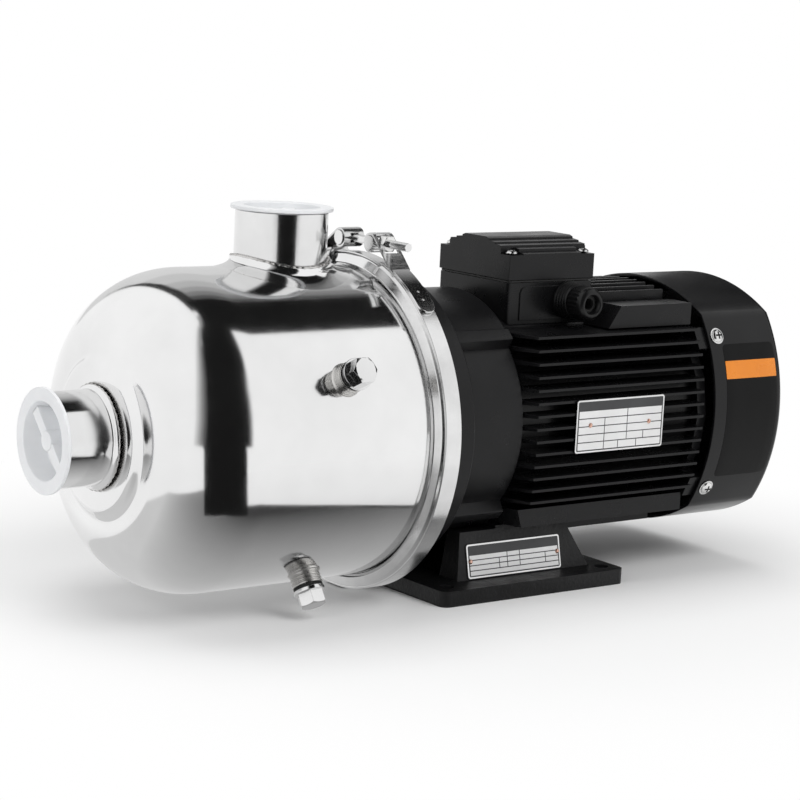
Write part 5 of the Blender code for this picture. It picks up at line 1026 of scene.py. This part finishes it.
ARC = [(97, 0.02, 0.10), (105, 0.02, 0.085), (113, 0.025, 0.07), (126, 0.03, 0.055), (138, 0.05, 0.045),
       (150, 0.08, 0.036), (160, 0.10, 0.030), (170, 0.12, 0.026)]
JOIN = [(70, -0.30), (76, -0.22), (82, -0.13), (88, -0.05), (93, -0.02)]
overhead_card("card_dark_top", 77, 107, -0.03, 0.66, DARKEST, 2.98)
for name, reach, level in (("card_dark_join", (0.0, 0.34), DARKEST), ("card_join_edge", (-0.06, 0.0), 0.30)):
    strip_card(name, *([over(x + shift, phi, 2.99) for phi, x in JOIN] for shift in reach), level)
overhead_card("card_dark_corner", 105, 124, 0.56, 0.76, 0.03, 2.95)
strip_card("card_dark_arc", *([over(x + side * half, phi) for phi, x, half in ARC] for side in (-1, 1)), 0.03)
TOP_LEVELS = ((107, 111, 0.10), (111, 116, 0.22), (116, 122, 0.36), (122, 131, 0.50), (131, 146, 0.62),
              (146, 176, 0.72))
for index, (start, end, level) in enumerate(TOP_LEVELS):
    overhead_card("card_top_%d" % (index + 1), start, end, 0.03, 0.82, level, 3.05)
sky_strip("card_dark_right", [(76, -1.9), (76, 12), (78, 34)], [(138, -1.9), (138, 12), (132, 34)], 0.05)
FLOOR_CORNER = [(-244, -195), (-184, -127), (-143, -144)]
floor_patch("card_dark_floor", [(-97, -145), (-97, -235), (-85, -408), (50, -1700), (140, -2950), (-2300, -2350),
                                (-1105, -1159), (-359, -322)] + FLOOR_CORNER, DARKEST, 0.0014)
FLOOR_EDGE = [(-97, -172), (-63, -168), (-27, -150), (3, -138), (35, -126), (55, -120), (90, -110)]
floor_patch("card_line_floor", FLOOR_EDGE + [(x, y + 7) for x, y in reversed(FLOOR_EDGE)], 0.06, 0.0012)


def soft_floor():
    """Floor under the pump as the steel shows it: darkest at the near edge, paler below the axis."""
    outline = [(x, y + 6) for x, y in FLOOR_EDGE] + [(140, -90), (140, 90), (-330, 90), (-330, -60)] + FLOOR_CORNER
    glow = floor_patch("card_soft_floor", outline, 1.0, 0.0010)
    tree = glow.id_data
    along = 0.4
    place = add_node(tree, "ShaderNodeTexCoord").outputs["Object"]
    squeeze = add_node(tree, "ShaderNodeVectorMath", {0: place, 1: (along, 1.0, 0.0)}, operation="MULTIPLY")
    reach = add_node(tree, "ShaderNodeVectorMath", {0: squeeze.outputs["Vector"],
                                                    1: ((ORIGIN_X - 0.040) * along, -0.165, 0.0)},
                     operation="DISTANCE")
    fade = add_node(tree, "ShaderNodeMapRange", {"From Min": 0.025, "From Max": 0.17, "To Min": 0.05,
                                                 "To Max": 0.66, "Value": reach.outputs["Value"]})
    feed(glow, {"Strength": fade.outputs["Result"]})


soft_floor()


# Studio

def any_ray(tree, *kinds):
    """1 for a ray of one of these kinds, else 0."""
    path = add_node(tree, "ShaderNodeLightPath").outputs
    found = path["Is %s Ray" % kinds[0]]
    for kind in kinds[1:]:
        found = add_node(tree, "ShaderNodeMath", {0: found, 1: path["Is %s Ray" % kind]},
                         operation="MAXIMUM").outputs[0]
    return found


def make_world():
    """White wherever it is seen, and softer as a light."""
    world = bpy.data.worlds.new("studio")
    bpy.context.scene.world = world
    world.use_nodes = True
    tree = world.node_tree
    tree.nodes.clear()
    soft, seen = (add_node(tree, "ShaderNodeBackground", {"Color": WHITE, "Strength": strength}).outputs[0]
                  for strength in (0.45, 1.0))
    mix = add_node(tree, "ShaderNodeMixShader", {0: any_ray(tree, "Camera", "Glossy", "Transmission"), 1: soft,
                                                 2: seen})
    add_node(tree, "ShaderNodeOutputWorld", {"Surface": mix.outputs[0]})


make_world()


def area_light(name, place, target, size, power):
    data = bpy.data.lights.new(name, "AREA")
    data.shape = "RECTANGLE"
    data.size, data.size_y = size
    data.energy = power
    lamp = place_object(name, data)
    lamp.location = place
    lamp.rotation_euler = (Vector(target) - Vector(place)).to_track_quat("-Z", "Y").to_euler()
    lamp.visible_glossy = False
    lamp.visible_camera = False


area_light("key", (0.6, -1.8, 1.9), (0, 0, 0.1), (1.6, 1.2), 26.0)
area_light("side", (-2.1, -0.6, 1.0), (-0.1, 0, 0.1), (1.2, 1.4), 12.0)
area_light("top", (0.0, 0.4, 2.2), (0, 0, 0.1), (1.8, 1.4), 16.0)


def make_floor():
    """Floor that takes soft shadows near the pump and fades to plain white around it."""
    half, fade_start, fade_end = 6.0, 0.20, 0.42
    floor = place_object("floor", flat_mesh("floor", [(-half, -half, 0), (half, -half, 0), (half, half, 0),
                                                      (-half, half, 0)], [(0, 1, 2, 3)]))
    material = bpy.data.materials.new("floor")
    material.use_nodes = True
    tree = material.node_tree
    surface = tree.nodes["Principled BSDF"]
    feed(surface, {"Base Color": colour(0.93), "Roughness": 0.9, "Specular IOR Level": 0.1})
    white = add_node(tree, "ShaderNodeEmission", {"Color": WHITE})
    place = add_node(tree, "ShaderNodeTexCoord").outputs["Object"]
    reach = add_node(tree, "ShaderNodeVectorMath", {0: place}, operation="LENGTH")
    fade = add_node(tree, "ShaderNodeMapRange", {"From Min": fade_start, "From Max": fade_end,
                                                 "Value": reach.outputs["Value"]}, interpolation_type="SMOOTHSTEP")
    seen = add_node(tree, "ShaderNodeMath", {0: any_ray(tree, "Camera", "Glossy"), 1: fade.outputs["Result"]},
                    operation="MULTIPLY")
    mix = add_node(tree, "ShaderNodeMixShader", {0: seen.outputs[0], 1: surface.outputs[0], 2: white.outputs[0]})
    feed(tree.nodes["Material Output"], {"Surface": mix.outputs[0]})
    floor.data.materials.append(material)


make_floor()
